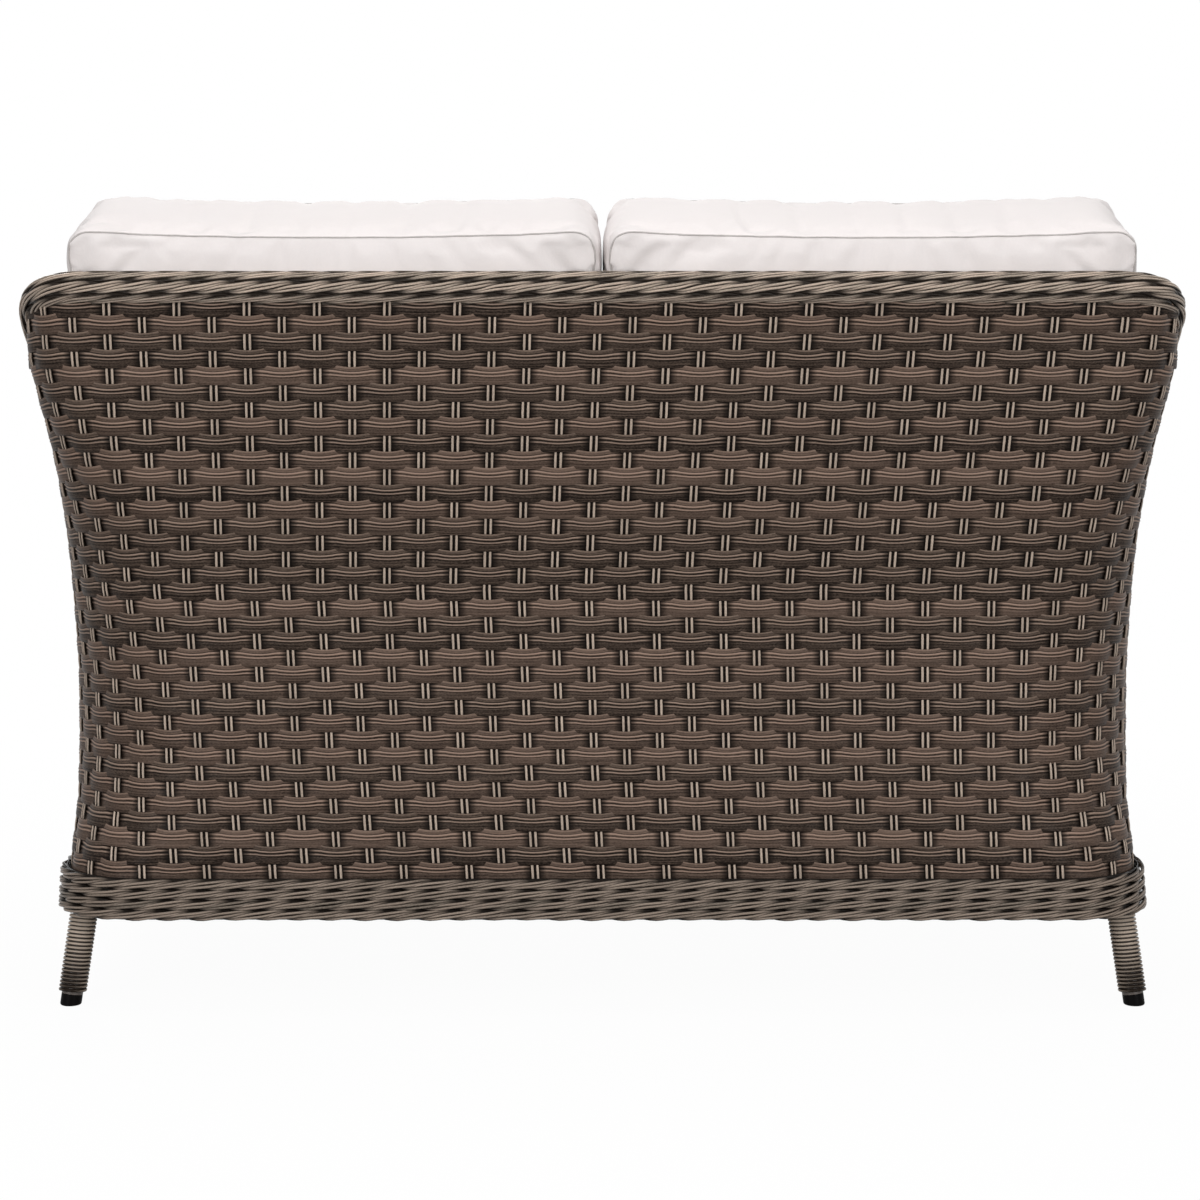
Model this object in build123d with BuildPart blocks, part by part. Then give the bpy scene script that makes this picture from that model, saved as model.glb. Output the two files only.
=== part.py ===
"""Two-seat wicker loveseat: a tube frame in a woven shell, rod-wound legs and loose cushions.

Millimetres. +Z is up, the seat faces -Y, and the sitter's left is +X. The origin is on the
floor, in the middle of the loveseat.
"""

from build123d import *
import os
from math import cos, pi, radians, sin, sqrt, tan

os.makedirs("parts", exist_ok=True)

# Overall sizes
overall_width = 1342.0
overall_depth = 838.0

# Rail along the back and both arms, measured at its centre line
rail_height = 846.0
rail_diameter = 26.0
rail_corner_radius = 70.0
rail_corner_drop = 34.0
arm_height = 652.0
arm_sweep = 390.0
arm_start_slope = 40.0
arm_front_radius = 80.0
arm_inward_tilt = 1.75
tube_wall = 1.5

# Braid wrapped round the rail, and the waled border round the foot of the shell
braid_thickness = 6.0
wrap_clearance = 0.2
border_height = 47.0
border_proud = 11.0
border_front_radius = 34.0
front_braid_thickness = 5.0

# Woven shell
weave_thickness = 8.0
shell_bottom = 116.0
waist_inset = 25.5
side_flare = 24.0
bottom_kick = 8.0
waist_corner_radius = 200.0
top_corner_radius = 75.0
back_lean = 13.0
lean_start = 392.0
lean_end = 572.0
rail_setback = 10.0
back_panel_depth = 232.0
apron_step = 4.0

# Height share, flare share, corner radius share and kick share of each ring of the shell
shell_shares = (
    (0.000, -0.23, 0.14, 1.00),
    (0.084, -0.20, 0.36, 0.75),
    (0.166, -0.17, 0.72, 0.35),
    (0.261, 0.00, 0.98, 0.05),
    (0.370, 0.00, 0.98, 0.00),
    (0.430, 0.00, 0.90, 0.00),
    (0.490, 0.01, 0.82, 0.00),
    (0.550, 0.03, 0.74, 0.00),
    (0.620, 0.08, 0.64, 0.00),
    (0.702, 0.17, 0.45, 0.00),
    (0.760, 0.29, 0.29, 0.00),
    (0.820, 0.54, 0.15, 0.00),
    (0.890, 0.85, 0.04, 0.00),
    (1.000, 0.80, 0.00, 0.00),
)

# Frame inside the shell
base_diameter = 25.0
base_height = 131.0
upright_diameter = 22.0
upright_spacing = 400.0
stile_setback = 265.0
stile_lean = 5.0
seat_tube_diameter = 22.0
cross_tube_spacing = 290.0
weld_clearance = 0.3

# Seat deck
deck_top = 312.0
deck_thickness = 8.0
deck_clearance = 1.0

# Legs, their rod windings and their glides
leg_diameter = 25.0
leg_corner_angle = 15.0
front_leg_inset_x = 7.0
front_leg_inset_y = 12.0
leg_splay = 7.5
rear_leg_inset = 1.5
winding_rod_diameter = 3.9
winding_pitch = 4.6
winding_top = 111.0
glide_height = 13.0
glide_stem_length = 18.0
glide_edge_radius = 2.5
stem_clearance = 0.2

# Seat cushions
seat_side_gap = 3.5
seat_front_gap = 12.0
seat_cushion_thickness = 130.0
seat_cushion_crown = 14.0
seat_cushion_rear_gap = 90.0
seat_cushion_corner_radius = 100.0
cushion_edge_radius = 26.0
cushion_draw_in = 7.0
cushion_clearance = 0.4
seat_middle_gap = 5.0

# Back cushions
back_cushion_width = 605.0
back_cushion_rise = 67.0
back_cushion_thickness = 155.0
back_cushion_crown = 18.0
back_cushion_lean = 18.0
back_middle_gap = 6.0
rail_touch_clearance = 1.0
lap_depth = 40.0

# Covers and zips
fabric_thickness = 1.6
core_clearance = 0.3
zip_length = 420.0
zip_width = 9.0
zip_thickness = 1.4

# Overrun of every cut beyond the piece that it cuts
overrun = 20.0

# Sizes that follow from the ones above
braid_radius = rail_diameter / 2 + braid_thickness
front_braid_radius = seat_tube_diameter / 2 + front_braid_thickness
rail_x = overall_width / 2 - braid_radius
rail_y = overall_depth / 2 - braid_radius
post_y = braid_radius - overall_depth / 2
waist_half_width = overall_width / 2 - waist_inset
shell_span = rail_height - shell_bottom
lean_tangent = tan(radians(back_lean))
lean_rise = (lean_end - lean_start) * tan(radians(back_lean / 2))
waist_y = rail_y + rail_setback - lean_rise - (rail_height - lean_end) * lean_tangent
arm_tilt = tan(radians(arm_inward_tilt))
apron_y = post_y - apron_step
apron_inner_y = apron_y + weave_thickness
panel_split_y = waist_y - back_panel_depth
tube_offset = weave_thickness + weld_clearance
upright_offset = tube_offset + upright_diameter / 2
seat_tube_offset = tube_offset + upright_diameter + weld_clearance + seat_tube_diameter / 2
base_offset = tube_offset + base_diameter / 2
deck_bottom = deck_top - deck_thickness
seat_tube_z = deck_bottom - weld_clearance - seat_tube_diameter / 2
front_tube_z = deck_top - front_braid_radius
turn_share = cos(pi / 4)


def interpolate(share, column):
    """A column of the shell's table at a height share, straight from ring to ring."""
    for low, high in zip(shell_shares, shell_shares[1:]):
        if share <= high[0]:
            part = (share - low[0]) / (high[0] - low[0])
            return low[column] + part * (high[column] - low[column])
    return shell_shares[-1][column]


def lean_at(height):
    """How far the shell's rear has leaned back at a height: upright, an arc, then straight."""
    if height <= lean_start:
        return 0.0
    if height >= lean_end:
        return lean_rise + (height - lean_end) * lean_tangent
    bend_radius = (lean_end - lean_start) / sin(radians(back_lean))
    return bend_radius - sqrt(bend_radius**2 - (height - lean_start) ** 2)


def shell_at(height):
    """Half width, rear face and corner radius of the shell's outside at a height."""
    share = (height - shell_bottom) / shell_span
    radius_step = waist_corner_radius - top_corner_radius
    half_width = waist_half_width + side_flare * interpolate(share, 1)
    radius = top_corner_radius + radius_step * interpolate(share, 2)
    rear = waist_y + lean_at(height) + bottom_kick * interpolate(share, 3)
    return half_width, rear, radius


def rail_x_at(height):
    """Centre of the arm rail and the front post, which tip inwards as they go down."""
    return rail_x - (rail_height - height) * arm_tilt


def stile_x_at(height):
    """Centre of an arm stile, which leans outwards from the base ring to the rail."""
    lean_share = (height - base_height) / (rail_height - base_height)
    return shell_at(base_height)[0] - upright_offset + stile_lean * lean_share


def flip_x(point):
    """The same point on the other side of the loveseat."""
    return (-point[0], point[1], point[2])


def bent_edge(start, start_direction, end, end_direction):
    """Two arcs that leave start and reach end along the given directions."""
    p0, p1 = Vector(*start), Vector(*end)
    t0, t1 = Vector(*start_direction).normalized(), Vector(*end_direction).normalized()
    v, t = p1 - p0, t0 + t1
    fall = 2 * (1 - t0.dot(t1))
    reach = (-v.dot(t) + sqrt(v.dot(t) ** 2 + fall * v.dot(v))) / fall
    middle = (p0 + t0 * reach + p1 - t1 * reach) / 2
    chord = (middle - p0).normalized()
    TangentArc(p0, middle, tangent=t0)
    TangentArc(middle, p1, tangent=chord * (2 * chord.dot(t0)) - t0)


def bend_across(x, y, radius, towards):
    """A run across the loveseat at y with a quarter bend at each end, bent towards +Y or -Y."""
    short = radius * (1 - turn_share)
    ThreePointArc((-x, y + towards * radius), (-x + short, y + towards * short), (-x + radius, y))
    Line((-x + radius, y), (x - radius, y))
    ThreePointArc((x - radius, y), (x - short, y + towards * short), (x, y + towards * radius))


def tube(path, outer, bore, cutters=()):
    """A round tube along a path, or a rod where the bore is zero, coped to its neighbours."""
    with BuildPart() as piece:
        with BuildSketch(Plane(origin=path @ 0, z_dir=path % 0)):
            Circle(outer / 2)
            if bore > 0:
                Circle(bore / 2, mode=Mode.SUBTRACT)
        sweep(path=path)
        for cutter in cutters:
            add(cutter, mode=Mode.SUBTRACT)
    return piece.part


def straight(start, end):
    """A straight path between two points."""
    with BuildLine() as path:
        Line(start, end)
    return path.line


def save(part, name):
    """Label a finished piece and write it."""
    part.label = name
    export_step(part, f"parts/{name}.step")


def save_pair(left_part, name):
    """Write a left-hand piece and its mirror image."""
    with BuildPart() as right:
        mirror(left_part, about=Plane.YZ)
    save(left_part, f"left_{name}")
    save(right.part, f"right_{name}")


# Route of the rail: straight along the back, round a falling corner, down and along the arm,
# then down the front post
corner_end_z = rail_height - rail_corner_drop
corner_start = (rail_x - rail_corner_radius, rail_y, rail_height)
corner_end = (rail_x_at(corner_end_z), rail_y - rail_corner_radius, corner_end_z)
slope_down = sin(radians(arm_start_slope))
slope_along = cos(radians(arm_start_slope))
arm_start_direction = (-slope_down * arm_tilt, -slope_along, -slope_down)
arm_level = (rail_x_at(arm_height), corner_end[1] - arm_sweep, arm_height)
post_top_z = arm_height - arm_front_radius
bend_short = arm_front_radius * (1 - turn_share)
front_bend_start = (rail_x_at(arm_height), post_y + arm_front_radius, arm_height)
front_bend_middle = (rail_x_at(arm_height - bend_short), post_y + bend_short, arm_height - bend_short)
post_top = (rail_x_at(post_top_z), post_y, post_top_z)
post_bottom = (rail_x_at(base_height), post_y, base_height)
braid_bottom_z = shell_bottom + border_height + wrap_clearance + braid_radius * arm_tilt


def arm_route(bottom_z):
    """The arm rail's path from the end of the rear corner to a height on the front post."""
    with BuildLine() as path:
        bent_edge(corner_end, arm_start_direction, arm_level, (0, -1, 0))
        Line(arm_level, front_bend_start)
        ThreePointArc(front_bend_start, front_bend_middle, post_top)
        Line(post_top, (rail_x_at(bottom_z), post_y, bottom_z))
    return path.line


with BuildLine() as back_route:
    bent_edge(flip_x(corner_end), (arm_start_direction[0], slope_along, slope_down),
              flip_x(corner_start), (1, 0, 0))
    Line(flip_x(corner_start), corner_start)
    bent_edge(corner_start, (1, 0, 0), corner_end, arm_start_direction)

back_rail_solid = tube(back_route.line, rail_diameter, 0)
arm_rail_solid = tube(arm_route(base_height), rail_diameter, 0)
back_braid_solid = tube(back_route.line, 2 * braid_radius, 0)
arm_braid_solid = tube(arm_route(shell_bottom - overrun), 2 * braid_radius, 0)

# Space under the rail, seen from the side, which trims the shell and the stiles
with BuildPart() as under_rail:
    with BuildSketch(Plane.YZ):
        with BuildLine():
            Line((rail_y, rail_height), corner_end[1:])
            bent_edge(corner_end[1:], (-slope_along, -slope_down), arm_level[1:], (-1, 0))
            Line(arm_level[1:], front_bend_start[1:])
            ThreePointArc(front_bend_start[1:], front_bend_middle[1:], post_top[1:])
            Line(post_top[1:], (post_y, shell_bottom - overrun))
            Line((post_y, shell_bottom - overrun), (overall_depth, shell_bottom - overrun))
            Line((overall_depth, shell_bottom - overrun), (overall_depth, rail_height))
            Line((overall_depth, rail_height), (rail_y, rail_height))
        make_face()
    extrude(amount=overall_width, both=True)

# Base ring: a rear run with bent corners, two sides and a front run between the posts
base_half_width, base_shell_rear, base_shell_radius = shell_at(base_height)
base_x = base_half_width - base_offset
base_rear_y = base_shell_rear - base_offset
base_front_y = apron_inner_y + weld_clearance + base_diameter / 2
base_corner_radius = base_shell_radius - base_offset
base_side_rear_y = base_rear_y - base_corner_radius
base_bore = base_diameter - 2 * tube_wall
post_bottom_x = post_bottom[0]

with BuildLine(Plane.XY.offset(base_height)) as base_rear_route:
    bend_across(base_x, base_rear_y, base_corner_radius, -1)
base_front_route = straight((-post_bottom_x, base_front_y, base_height),
                            (post_bottom_x, base_front_y, base_height))
base_side_route = straight((base_x, base_side_rear_y, base_height),
                           (base_x, base_front_y, base_height))
with BuildPart() as right_post:
    mirror(arm_rail_solid, about=Plane.YZ)
with BuildPart() as right_braid:
    mirror(arm_braid_solid, about=Plane.YZ)
posts = (arm_rail_solid, right_post.part)
arm_braids = (arm_braid_solid, right_braid.part)
base_rear_solid = tube(base_rear_route.line, base_diameter, 0)
base_front_solid = tube(base_front_route, base_diameter, 0)
base_side_solid = tube(base_side_route, base_diameter, 0)

save(tube(base_rear_route.line, base_diameter, base_bore), "base_rear_tube")
save(tube(base_front_route, base_diameter, base_bore, posts), "base_front_tube")
save_pair(tube(base_side_route, base_diameter, base_bore, [base_front_solid]), "base_side_tube")

# Seat frame: a rear run bent to the shell's corners, two sides, a front run and cross tubes
seat_x = stile_x_at(seat_tube_z) - upright_diameter / 2 - weld_clearance - seat_tube_diameter / 2
seat_rear_y = waist_y - seat_tube_offset
seat_corner_radius = shell_at(seat_tube_z)[2] - seat_tube_offset
seat_bore = seat_tube_diameter - 2 * tube_wall
front_post_x = rail_x_at(front_tube_z)

with BuildLine(Plane.XY.offset(seat_tube_z)) as seat_rear_route:
    bend_across(seat_x, seat_rear_y, seat_corner_radius, -1)
seat_front_route = straight((-front_post_x, post_y, front_tube_z), (front_post_x, post_y, front_tube_z))
seat_side_route = straight((seat_x, seat_rear_y - seat_corner_radius, seat_tube_z),
                           (seat_x, post_y, seat_tube_z))
seat_rear_solid = tube(seat_rear_route.line, seat_tube_diameter, 0)
seat_front_solid = tube(seat_front_route, seat_tube_diameter, 0)
front_braid_solid = tube(seat_front_route, 2 * front_braid_radius, 0)

save(tube(seat_rear_route.line, seat_tube_diameter, seat_bore), "seat_rear_tube")
save(tube(seat_front_route, seat_tube_diameter, seat_bore, posts), "seat_front_tube")
save_pair(tube(seat_side_route, seat_tube_diameter, seat_bore, [front_braid_solid]), "seat_side_tube")
for name, x in (("left", cross_tube_spacing), ("middle", 0), ("right", -cross_tube_spacing)):
    cross_route = straight((x, seat_rear_y, seat_tube_z), (x, post_y, seat_tube_z))
    save(tube(cross_route, seat_tube_diameter, seat_bore, [seat_rear_solid, front_braid_solid]),
         f"{name}_seat_cross_tube")

# Uprights behind the back cushions, which lean back with the shell
upright_y = waist_y - upright_offset
upright_top_z = rail_height - upright_diameter / 2
upright_bore = upright_diameter - 2 * tube_wall
bend_middle = (lean_start + lean_end) / 2
upright_solids = []
for name, x in (("left", upright_spacing), ("middle", 0), ("right", -upright_spacing)):
    with BuildLine() as upright_route:
        Line((x, upright_y, base_height), (x, upright_y, lean_start))
        ThreePointArc((x, upright_y, lean_start), (x, upright_y + lean_at(bend_middle), bend_middle),
                      (x, upright_y + lean_rise, lean_end))
        Line((x, upright_y + lean_rise, lean_end),
             (x, upright_y + lean_at(upright_top_z), upright_top_z))
    upright_solids.append(tube(upright_route.line, upright_diameter, 0))
    save(tube(upright_route.line, upright_diameter, upright_bore, [base_rear_solid, back_rail_solid]),
         f"{name}_back_upright")

# Stiles inside the arms, from the base ring to the arm rail
stile_y = waist_y - stile_setback
stile_route = straight((stile_x_at(base_height), stile_y, base_height),
                       (stile_x_at(rail_height), stile_y, rail_height))
with BuildPart() as left_stile:
    add(tube(stile_route, upright_diameter, upright_bore, [base_side_solid]))
    add(under_rail.part, mode=Mode.INTERSECT)
    add(arm_rail_solid, mode=Mode.SUBTRACT)
save_pair(left_stile.part, "arm_stile")
stile_solid = tube(stile_route, upright_diameter, 0)

# Rail tubes and the braid wrapped round them
rail_bore = rail_diameter - 2 * tube_wall
braid_bore = rail_diameter + 2 * wrap_clearance
front_braid_bore = seat_tube_diameter + 2 * wrap_clearance
save(tube(back_route.line, rail_diameter, rail_bore), "back_rail_tube")
save_pair(tube(arm_route(base_height), rail_diameter, rail_bore), "arm_rail_tube")
save(tube(back_route.line, 2 * braid_radius, braid_bore, upright_solids), "back_rail_braid")
save_pair(tube(arm_route(braid_bottom_z), 2 * braid_radius, braid_bore, [stile_solid, seat_front_solid]),
          "arm_rail_braid")
save(tube(seat_front_route, 2 * front_braid_radius, front_braid_bore, arm_braids), "seat_front_braid")

# Woven shell round the back and sides, open at the front
with BuildPart() as shell:
    for row in shell_shares:
        height = shell_bottom + shell_span * row[0]
        half_width, rear, radius = shell_at(height)
        inner_width = half_width - weave_thickness
        with BuildSketch(Plane.XY.offset(height)):
            with BuildLine():
                Line((-half_width, post_y), (-half_width, rear - radius))
                bend_across(half_width, rear, radius, -1)
                Line((half_width, rear - radius), (half_width, post_y))
                Line((half_width, post_y), (inner_width, post_y))
                Line((inner_width, post_y), (inner_width, rear - radius))
                bend_across(inner_width, rear - weave_thickness, radius - weave_thickness, -1)
                Line((-inner_width, rear - radius), (-inner_width, post_y))
                Line((-inner_width, post_y), (-half_width, post_y))
            make_face()
    loft(ruled=True)
    add(under_rail.part, mode=Mode.INTERSECT)

split_plane = Plane(origin=(0, panel_split_y, 0), z_dir=(0, 1, 0))
with BuildPart() as back_weave:
    add(shell.part)
    split(bisect_by=split_plane, keep=Keep.TOP)
    add(back_braid_solid, mode=Mode.SUBTRACT)
    for braid in arm_braids:
        add(braid, mode=Mode.SUBTRACT)
save(back_weave.part, "back_weave")

with BuildPart() as left_weave:
    add(shell.part)
    split(bisect_by=split_plane, keep=Keep.BOTTOM)
    split(bisect_by=Plane.YZ, keep=Keep.TOP)
    add(arm_braid_solid, mode=Mode.SUBTRACT)
save_pair(left_weave.part, "arm_weave")

with BuildPart() as front_weave:
    with BuildSketch(Plane.XY.offset(shell_bottom)):
        with BuildLine():
            Polyline((-front_post_x, apron_y), (front_post_x, apron_y),
                     (front_post_x, apron_inner_y), (-front_post_x, apron_inner_y), close=True)
        make_face()
    extrude(amount=front_tube_z - shell_bottom)
    add(front_braid_solid, mode=Mode.SUBTRACT)
    for braid in arm_braids:
        add(braid, mode=Mode.SUBTRACT)
save(front_weave.part, "front_weave")

# Seat deck, woven across the seat frame
deck_offset = tube_offset + upright_diameter + deck_clearance
deck_x = stile_x_at(deck_bottom) - upright_diameter / 2 - deck_clearance
deck_rear_y = waist_y - deck_offset
deck_radius = shell_at(deck_bottom)[2] - deck_offset
with BuildPart() as deck:
    with BuildSketch(Plane.XY.offset(deck_bottom)):
        with BuildLine():
            Line((-deck_x, post_y), (-deck_x, deck_rear_y - deck_radius))
            bend_across(deck_x, deck_rear_y, deck_radius, -1)
            Line((deck_x, deck_rear_y - deck_radius), (deck_x, post_y))
            Line((deck_x, post_y), (-deck_x, post_y))
        make_face()
    extrude(amount=deck_thickness)
    add(front_braid_solid, mode=Mode.SUBTRACT)
    for braid in arm_braids:
        add(braid, mode=Mode.SUBTRACT)
save(deck.part, "seat_deck_weave")


def border_outline(height, outset, front_radius):
    """The foot of the shell as a closed outline, moved outwards by the outset."""
    half_width, rear, radius = shell_at(height)
    x, y, r = half_width + outset, rear + outset, radius + outset
    front = apron_y - outset
    Line((-x, front + front_radius), (-x, y - r))
    bend_across(x, y, r, -1)
    Line((x, y - r), (x, front + front_radius))
    bend_across(x, front, front_radius, 1)


# Waled border round the foot of the shell, in four pieces
post_hollow = tube(arm_route(base_height), rail_diameter + 2 * wrap_clearance, 0)
with BuildPart() as border:
    for height in (shell_bottom, shell_bottom + border_height):
        with BuildSketch(Plane.XY.offset(height)):
            with BuildLine():
                border_outline(height, border_proud, border_front_radius)
            make_face()
    loft(ruled=True)
    for height in (shell_bottom, shell_bottom + border_height):
        with BuildSketch(Plane.XY.offset(height)):
            with BuildLine():
                border_outline(height, wrap_clearance, border_front_radius - braid_radius)
            make_face()
    loft(ruled=True, mode=Mode.SUBTRACT)
    add(post_hollow, mode=Mode.SUBTRACT)
    mirror(post_hollow, about=Plane.YZ, mode=Mode.SUBTRACT)

front_split_y = post_y + braid_radius + border_front_radius
front_plane = Plane(origin=(0, front_split_y, 0), z_dir=(0, 1, 0))
with BuildPart() as rear_border:
    add(border.part)
    split(bisect_by=split_plane, keep=Keep.TOP)
save(rear_border.part, "rear_border")
with BuildPart() as front_border:
    add(border.part)
    split(bisect_by=front_plane, keep=Keep.BOTTOM)
save(front_border.part, "front_border")
with BuildPart() as left_border:
    add(border.part)
    split(bisect_by=split_plane, keep=Keep.BOTTOM)
    split(bisect_by=front_plane, keep=Keep.TOP)
    split(bisect_by=Plane.YZ, keep=Keep.TOP)
save_pair(left_border.part, "side_border")

# Legs under the base ring's corners, splayed outwards and away from the middle
leg_bore = leg_diameter - 2 * tube_wall
splay = tan(radians(leg_splay))
leg_arc_radius = base_corner_radius - rear_leg_inset
corner_x = base_x - base_corner_radius + leg_arc_radius * cos(radians(leg_corner_angle))
corner_y = base_side_rear_y + leg_arc_radius * sin(radians(leg_corner_angle))
leg_places = (
    ("rear", (corner_x, corner_y), 1),
    ("front", (base_x - front_leg_inset_x, base_front_y + front_leg_inset_y), -1),
)
base_solids = (base_rear_solid, base_front_solid, base_side_solid, arm_rail_solid)
winding_radius = leg_diameter / 2 + wrap_clearance + winding_rod_diameter / 2
winding_start = glide_height + winding_rod_diameter
half_turns = 2 * int((winding_top - winding_start) / winding_pitch)


def helix_point(leg_plane, half_turn):
    """Place and direction on the winding's centre line after a number of half turns."""
    angle = pi * half_turn
    rise = winding_pitch / 2
    place = (winding_radius * cos(angle), winding_radius * sin(angle), winding_start + rise * half_turn)
    heading = Vector(-winding_radius * pi * sin(angle), winding_radius * pi * cos(angle), rise)
    tip = Vector(*place) + heading
    start = leg_plane.from_local_coords(place)
    return start, (leg_plane.from_local_coords(tip) - start).normalized()


for name, (top_x, top_y), towards in leg_places:
    foot = Vector(top_x + splay * base_height, top_y + towards * splay * base_height, 0)
    top = Vector(top_x, top_y, base_height)
    leg_plane = Plane(origin=foot, x_dir=(1, 0, 0), z_dir=(top - foot).normalized())
    axis = leg_plane.z_dir
    leg_route = straight(foot + axis * glide_height, top)
    save_pair(tube(leg_route, leg_diameter, leg_bore, base_solids), f"{name}_leg_tube")

    with BuildPart() as glide:
        with BuildSketch(leg_plane.offset(-overrun)):
            Circle(leg_diameter / 2)
        extrude(amount=overrun + glide_height)
        with BuildSketch(leg_plane.offset(glide_height)):
            Circle(leg_bore / 2 - stem_clearance)
        extrude(amount=glide_stem_length)
        split(bisect_by=Plane.XY, keep=Keep.TOP)
        fillet(glide.edges().group_by(Axis.Z)[0], glide_edge_radius)
    save_pair(glide.part, f"{name}_glide")

    with BuildLine() as winding_route:
        start, heading = helix_point(leg_plane, 0)
        Line(start - heading * winding_rod_diameter, start)
        for half_turn in range(half_turns):
            here, direction = helix_point(leg_plane, half_turn)
            there, next_direction = helix_point(leg_plane, half_turn + 1)
            bent_edge(here, direction, there, next_direction)
        end, heading = helix_point(leg_plane, half_turns)
        Line(end, end + heading * winding_rod_diameter)
    save_pair(tube(winding_route.line, winding_rod_diameter, 0), f"{name}_leg_winding")

# Least gap of a winding to itself, on points along its centre line
points_per_turn = 48
turn_points = [winding_route.line @ (i / (half_turns / 2 * points_per_turn))
               for i in range(int(half_turns / 2 * points_per_turn) + 1)]
least_gap = min((p - q).length
                for i, p in enumerate(turn_points)
                for q in turn_points[i + points_per_turn // 2:i + 2 * points_per_turn])
print("least gap of a leg winding to itself:", round(least_gap - winding_rod_diameter, 3), "mm,",
      half_turns / 2, "turns")


def crown_edge(start, rise, end):
    """An edge across the section of a cushion, bowed outwards, or straight where it lies flat."""
    if rise == 0:
        Line(start, end)
    else:
        ThreePointArc(start, (0, start[1] + rise), end)


def cushion_form(base, width, depth, thickness, crowns, corner_radii, inset):
    """A crowned slab with drawn-in sides on a base plane: x across, y deep, z thick.

    crowns are those of the top and the bottom. corner_radii are those of the corners at
    (+x, +y), (-x, +y), (-x, -y) and (+x, -y). The inset moves every face inwards.
    """
    half_x, half_y, half_z = width / 2 + overrun, depth / 2 + overrun, thickness / 2 - inset
    with BuildPart() as form:
        for share in crown_shares:
            crown_share = 1 - (1 - crown_edge_share) * share**2
            with BuildSketch(Plane(base.from_local_coords((share * half_x, 0, 0)),
                                   x_dir=base.y_dir, z_dir=base.x_dir)):
                with BuildLine():
                    crown_edge((-half_y, half_z), crowns[0] * crown_share, (half_y, half_z))
                    Line((half_y, half_z), (half_y, -half_z))
                    crown_edge((half_y, -half_z), -crowns[1] * crown_share, (-half_y, -half_z))
                    Line((-half_y, -half_z), (-half_y, half_z))
                make_face()
        loft()
        with BuildSketch(base) as outline:
            x, y = width / 2 - inset, depth / 2 - inset
            pull_x, pull_y = x - cushion_draw_in, y - cushion_draw_in
            with BuildLine():
                ThreePointArc((x, y), (0, pull_y), (-x, y))
                ThreePointArc((-x, y), (-pull_x, 0), (-x, -y))
                ThreePointArc((-x, -y), (0, -pull_y), (x, -y))
                ThreePointArc((x, -y), (pull_x, 0), (x, y))
            make_face()
            for (side_x, side_y), radius in zip(corner_sides, corner_radii):
                corner = outline.vertices().sort_by_distance((side_x * x, side_y * y, 0))[0]
                fillet(corner, radius - inset)
        extrude(amount=thickness, both=True, mode=Mode.INTERSECT)
    return form.part


# Where along a cushion its crown is drawn, how much of it is left at the ends, and its corners
crown_shares = (-1.0, -0.5, 0.0, 0.5, 1.0)
crown_edge_share = 0.2
corner_sides = ((1, 1), (-1, 1), (-1, -1), (1, -1))

# Seat cushions on the deck, with a large rear outer corner that follows the shell
seat_cushion_bottom = deck_top + cushion_clearance
seat_seam_z = seat_cushion_bottom + seat_cushion_thickness
seat_outer_x = stile_x_at(deck_top) - upright_diameter / 2 - seat_side_gap
seat_rear_edge = waist_y - seat_cushion_rear_gap
seat_front_edge = post_y + seat_front_gap
seat_cushion_width = seat_outer_x - seat_middle_gap / 2
seat_cushion_depth = seat_rear_edge - seat_front_edge
seat_cushion_x = (seat_outer_x + seat_middle_gap / 2) / 2
seat_cushion_y = (seat_rear_edge + seat_front_edge) / 2
seat_cushion_z = seat_cushion_bottom + seat_cushion_thickness / 2
seat_base = Plane(origin=(seat_cushion_x, seat_cushion_y, seat_cushion_z))
seat_corners = (seat_cushion_corner_radius,) + (cushion_edge_radius,) * 3


def seat_form(inset):
    """The left seat cushion, with every face moved inwards by the inset."""
    return cushion_form(seat_base, seat_cushion_width, seat_cushion_depth, seat_cushion_thickness,
                        (seat_cushion_crown, 0), seat_corners, inset)


# Back cushions, which stand on the seat cushions and lean on the rail
lean_sin = sin(radians(back_cushion_lean))
lean_cos = cos(radians(back_cushion_lean))
lean_up = Vector(0, lean_sin, lean_cos)
lean_rear = Vector(0, lean_cos, -lean_sin)
back_seam_z = rail_height + back_cushion_rise
form_height = (back_seam_z - seat_seam_z) / lean_cos + lap_depth
contact_reach = braid_radius + rail_touch_clearance
contact_z = rail_height + (contact_reach + back_cushion_crown / 2) * lean_sin
seam_to_contact = (back_seam_z - contact_z) / lean_cos
contact_share = (form_height / 2 - seam_to_contact) / (form_height / 2 + overrun)
contact_crown = back_cushion_crown * (1 - contact_share**2)
contact = Vector(0, rail_y, rail_height) - lean_rear * (contact_reach + contact_crown)
back_center = (contact + lean_up * (seam_to_contact - form_height / 2)
               - lean_rear * (back_cushion_thickness / 2)
               + Vector((back_middle_gap + back_cushion_width) / 2, 0, 0))
back_base = Plane(origin=back_center, x_dir=(-1, 0, 0), z_dir=lean_rear)


def back_form(inset):
    """The left back cushion, cut to the seat cushion below, with every face moved inwards."""
    with BuildPart() as form:
        add(cushion_form(back_base, back_cushion_width, form_height, back_cushion_thickness,
                         (back_cushion_crown, back_cushion_crown), (cushion_edge_radius,) * 4, inset))
        split(bisect_by=Plane.XY.offset(seat_seam_z + cushion_clearance + inset), keep=Keep.TOP)
        add(seat_form(-cushion_clearance - inset), mode=Mode.SUBTRACT)
    return form.part


for name, form in (("seat", seat_form), ("back", back_form)):
    with BuildPart() as cover:
        add(form(0))
        add(form(fabric_thickness), mode=Mode.SUBTRACT)
    save_pair(cover.part, f"{name}_cushion_cover")
    save_pair(form(fabric_thickness + core_clearance), f"{name}_cushion_core")

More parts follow.
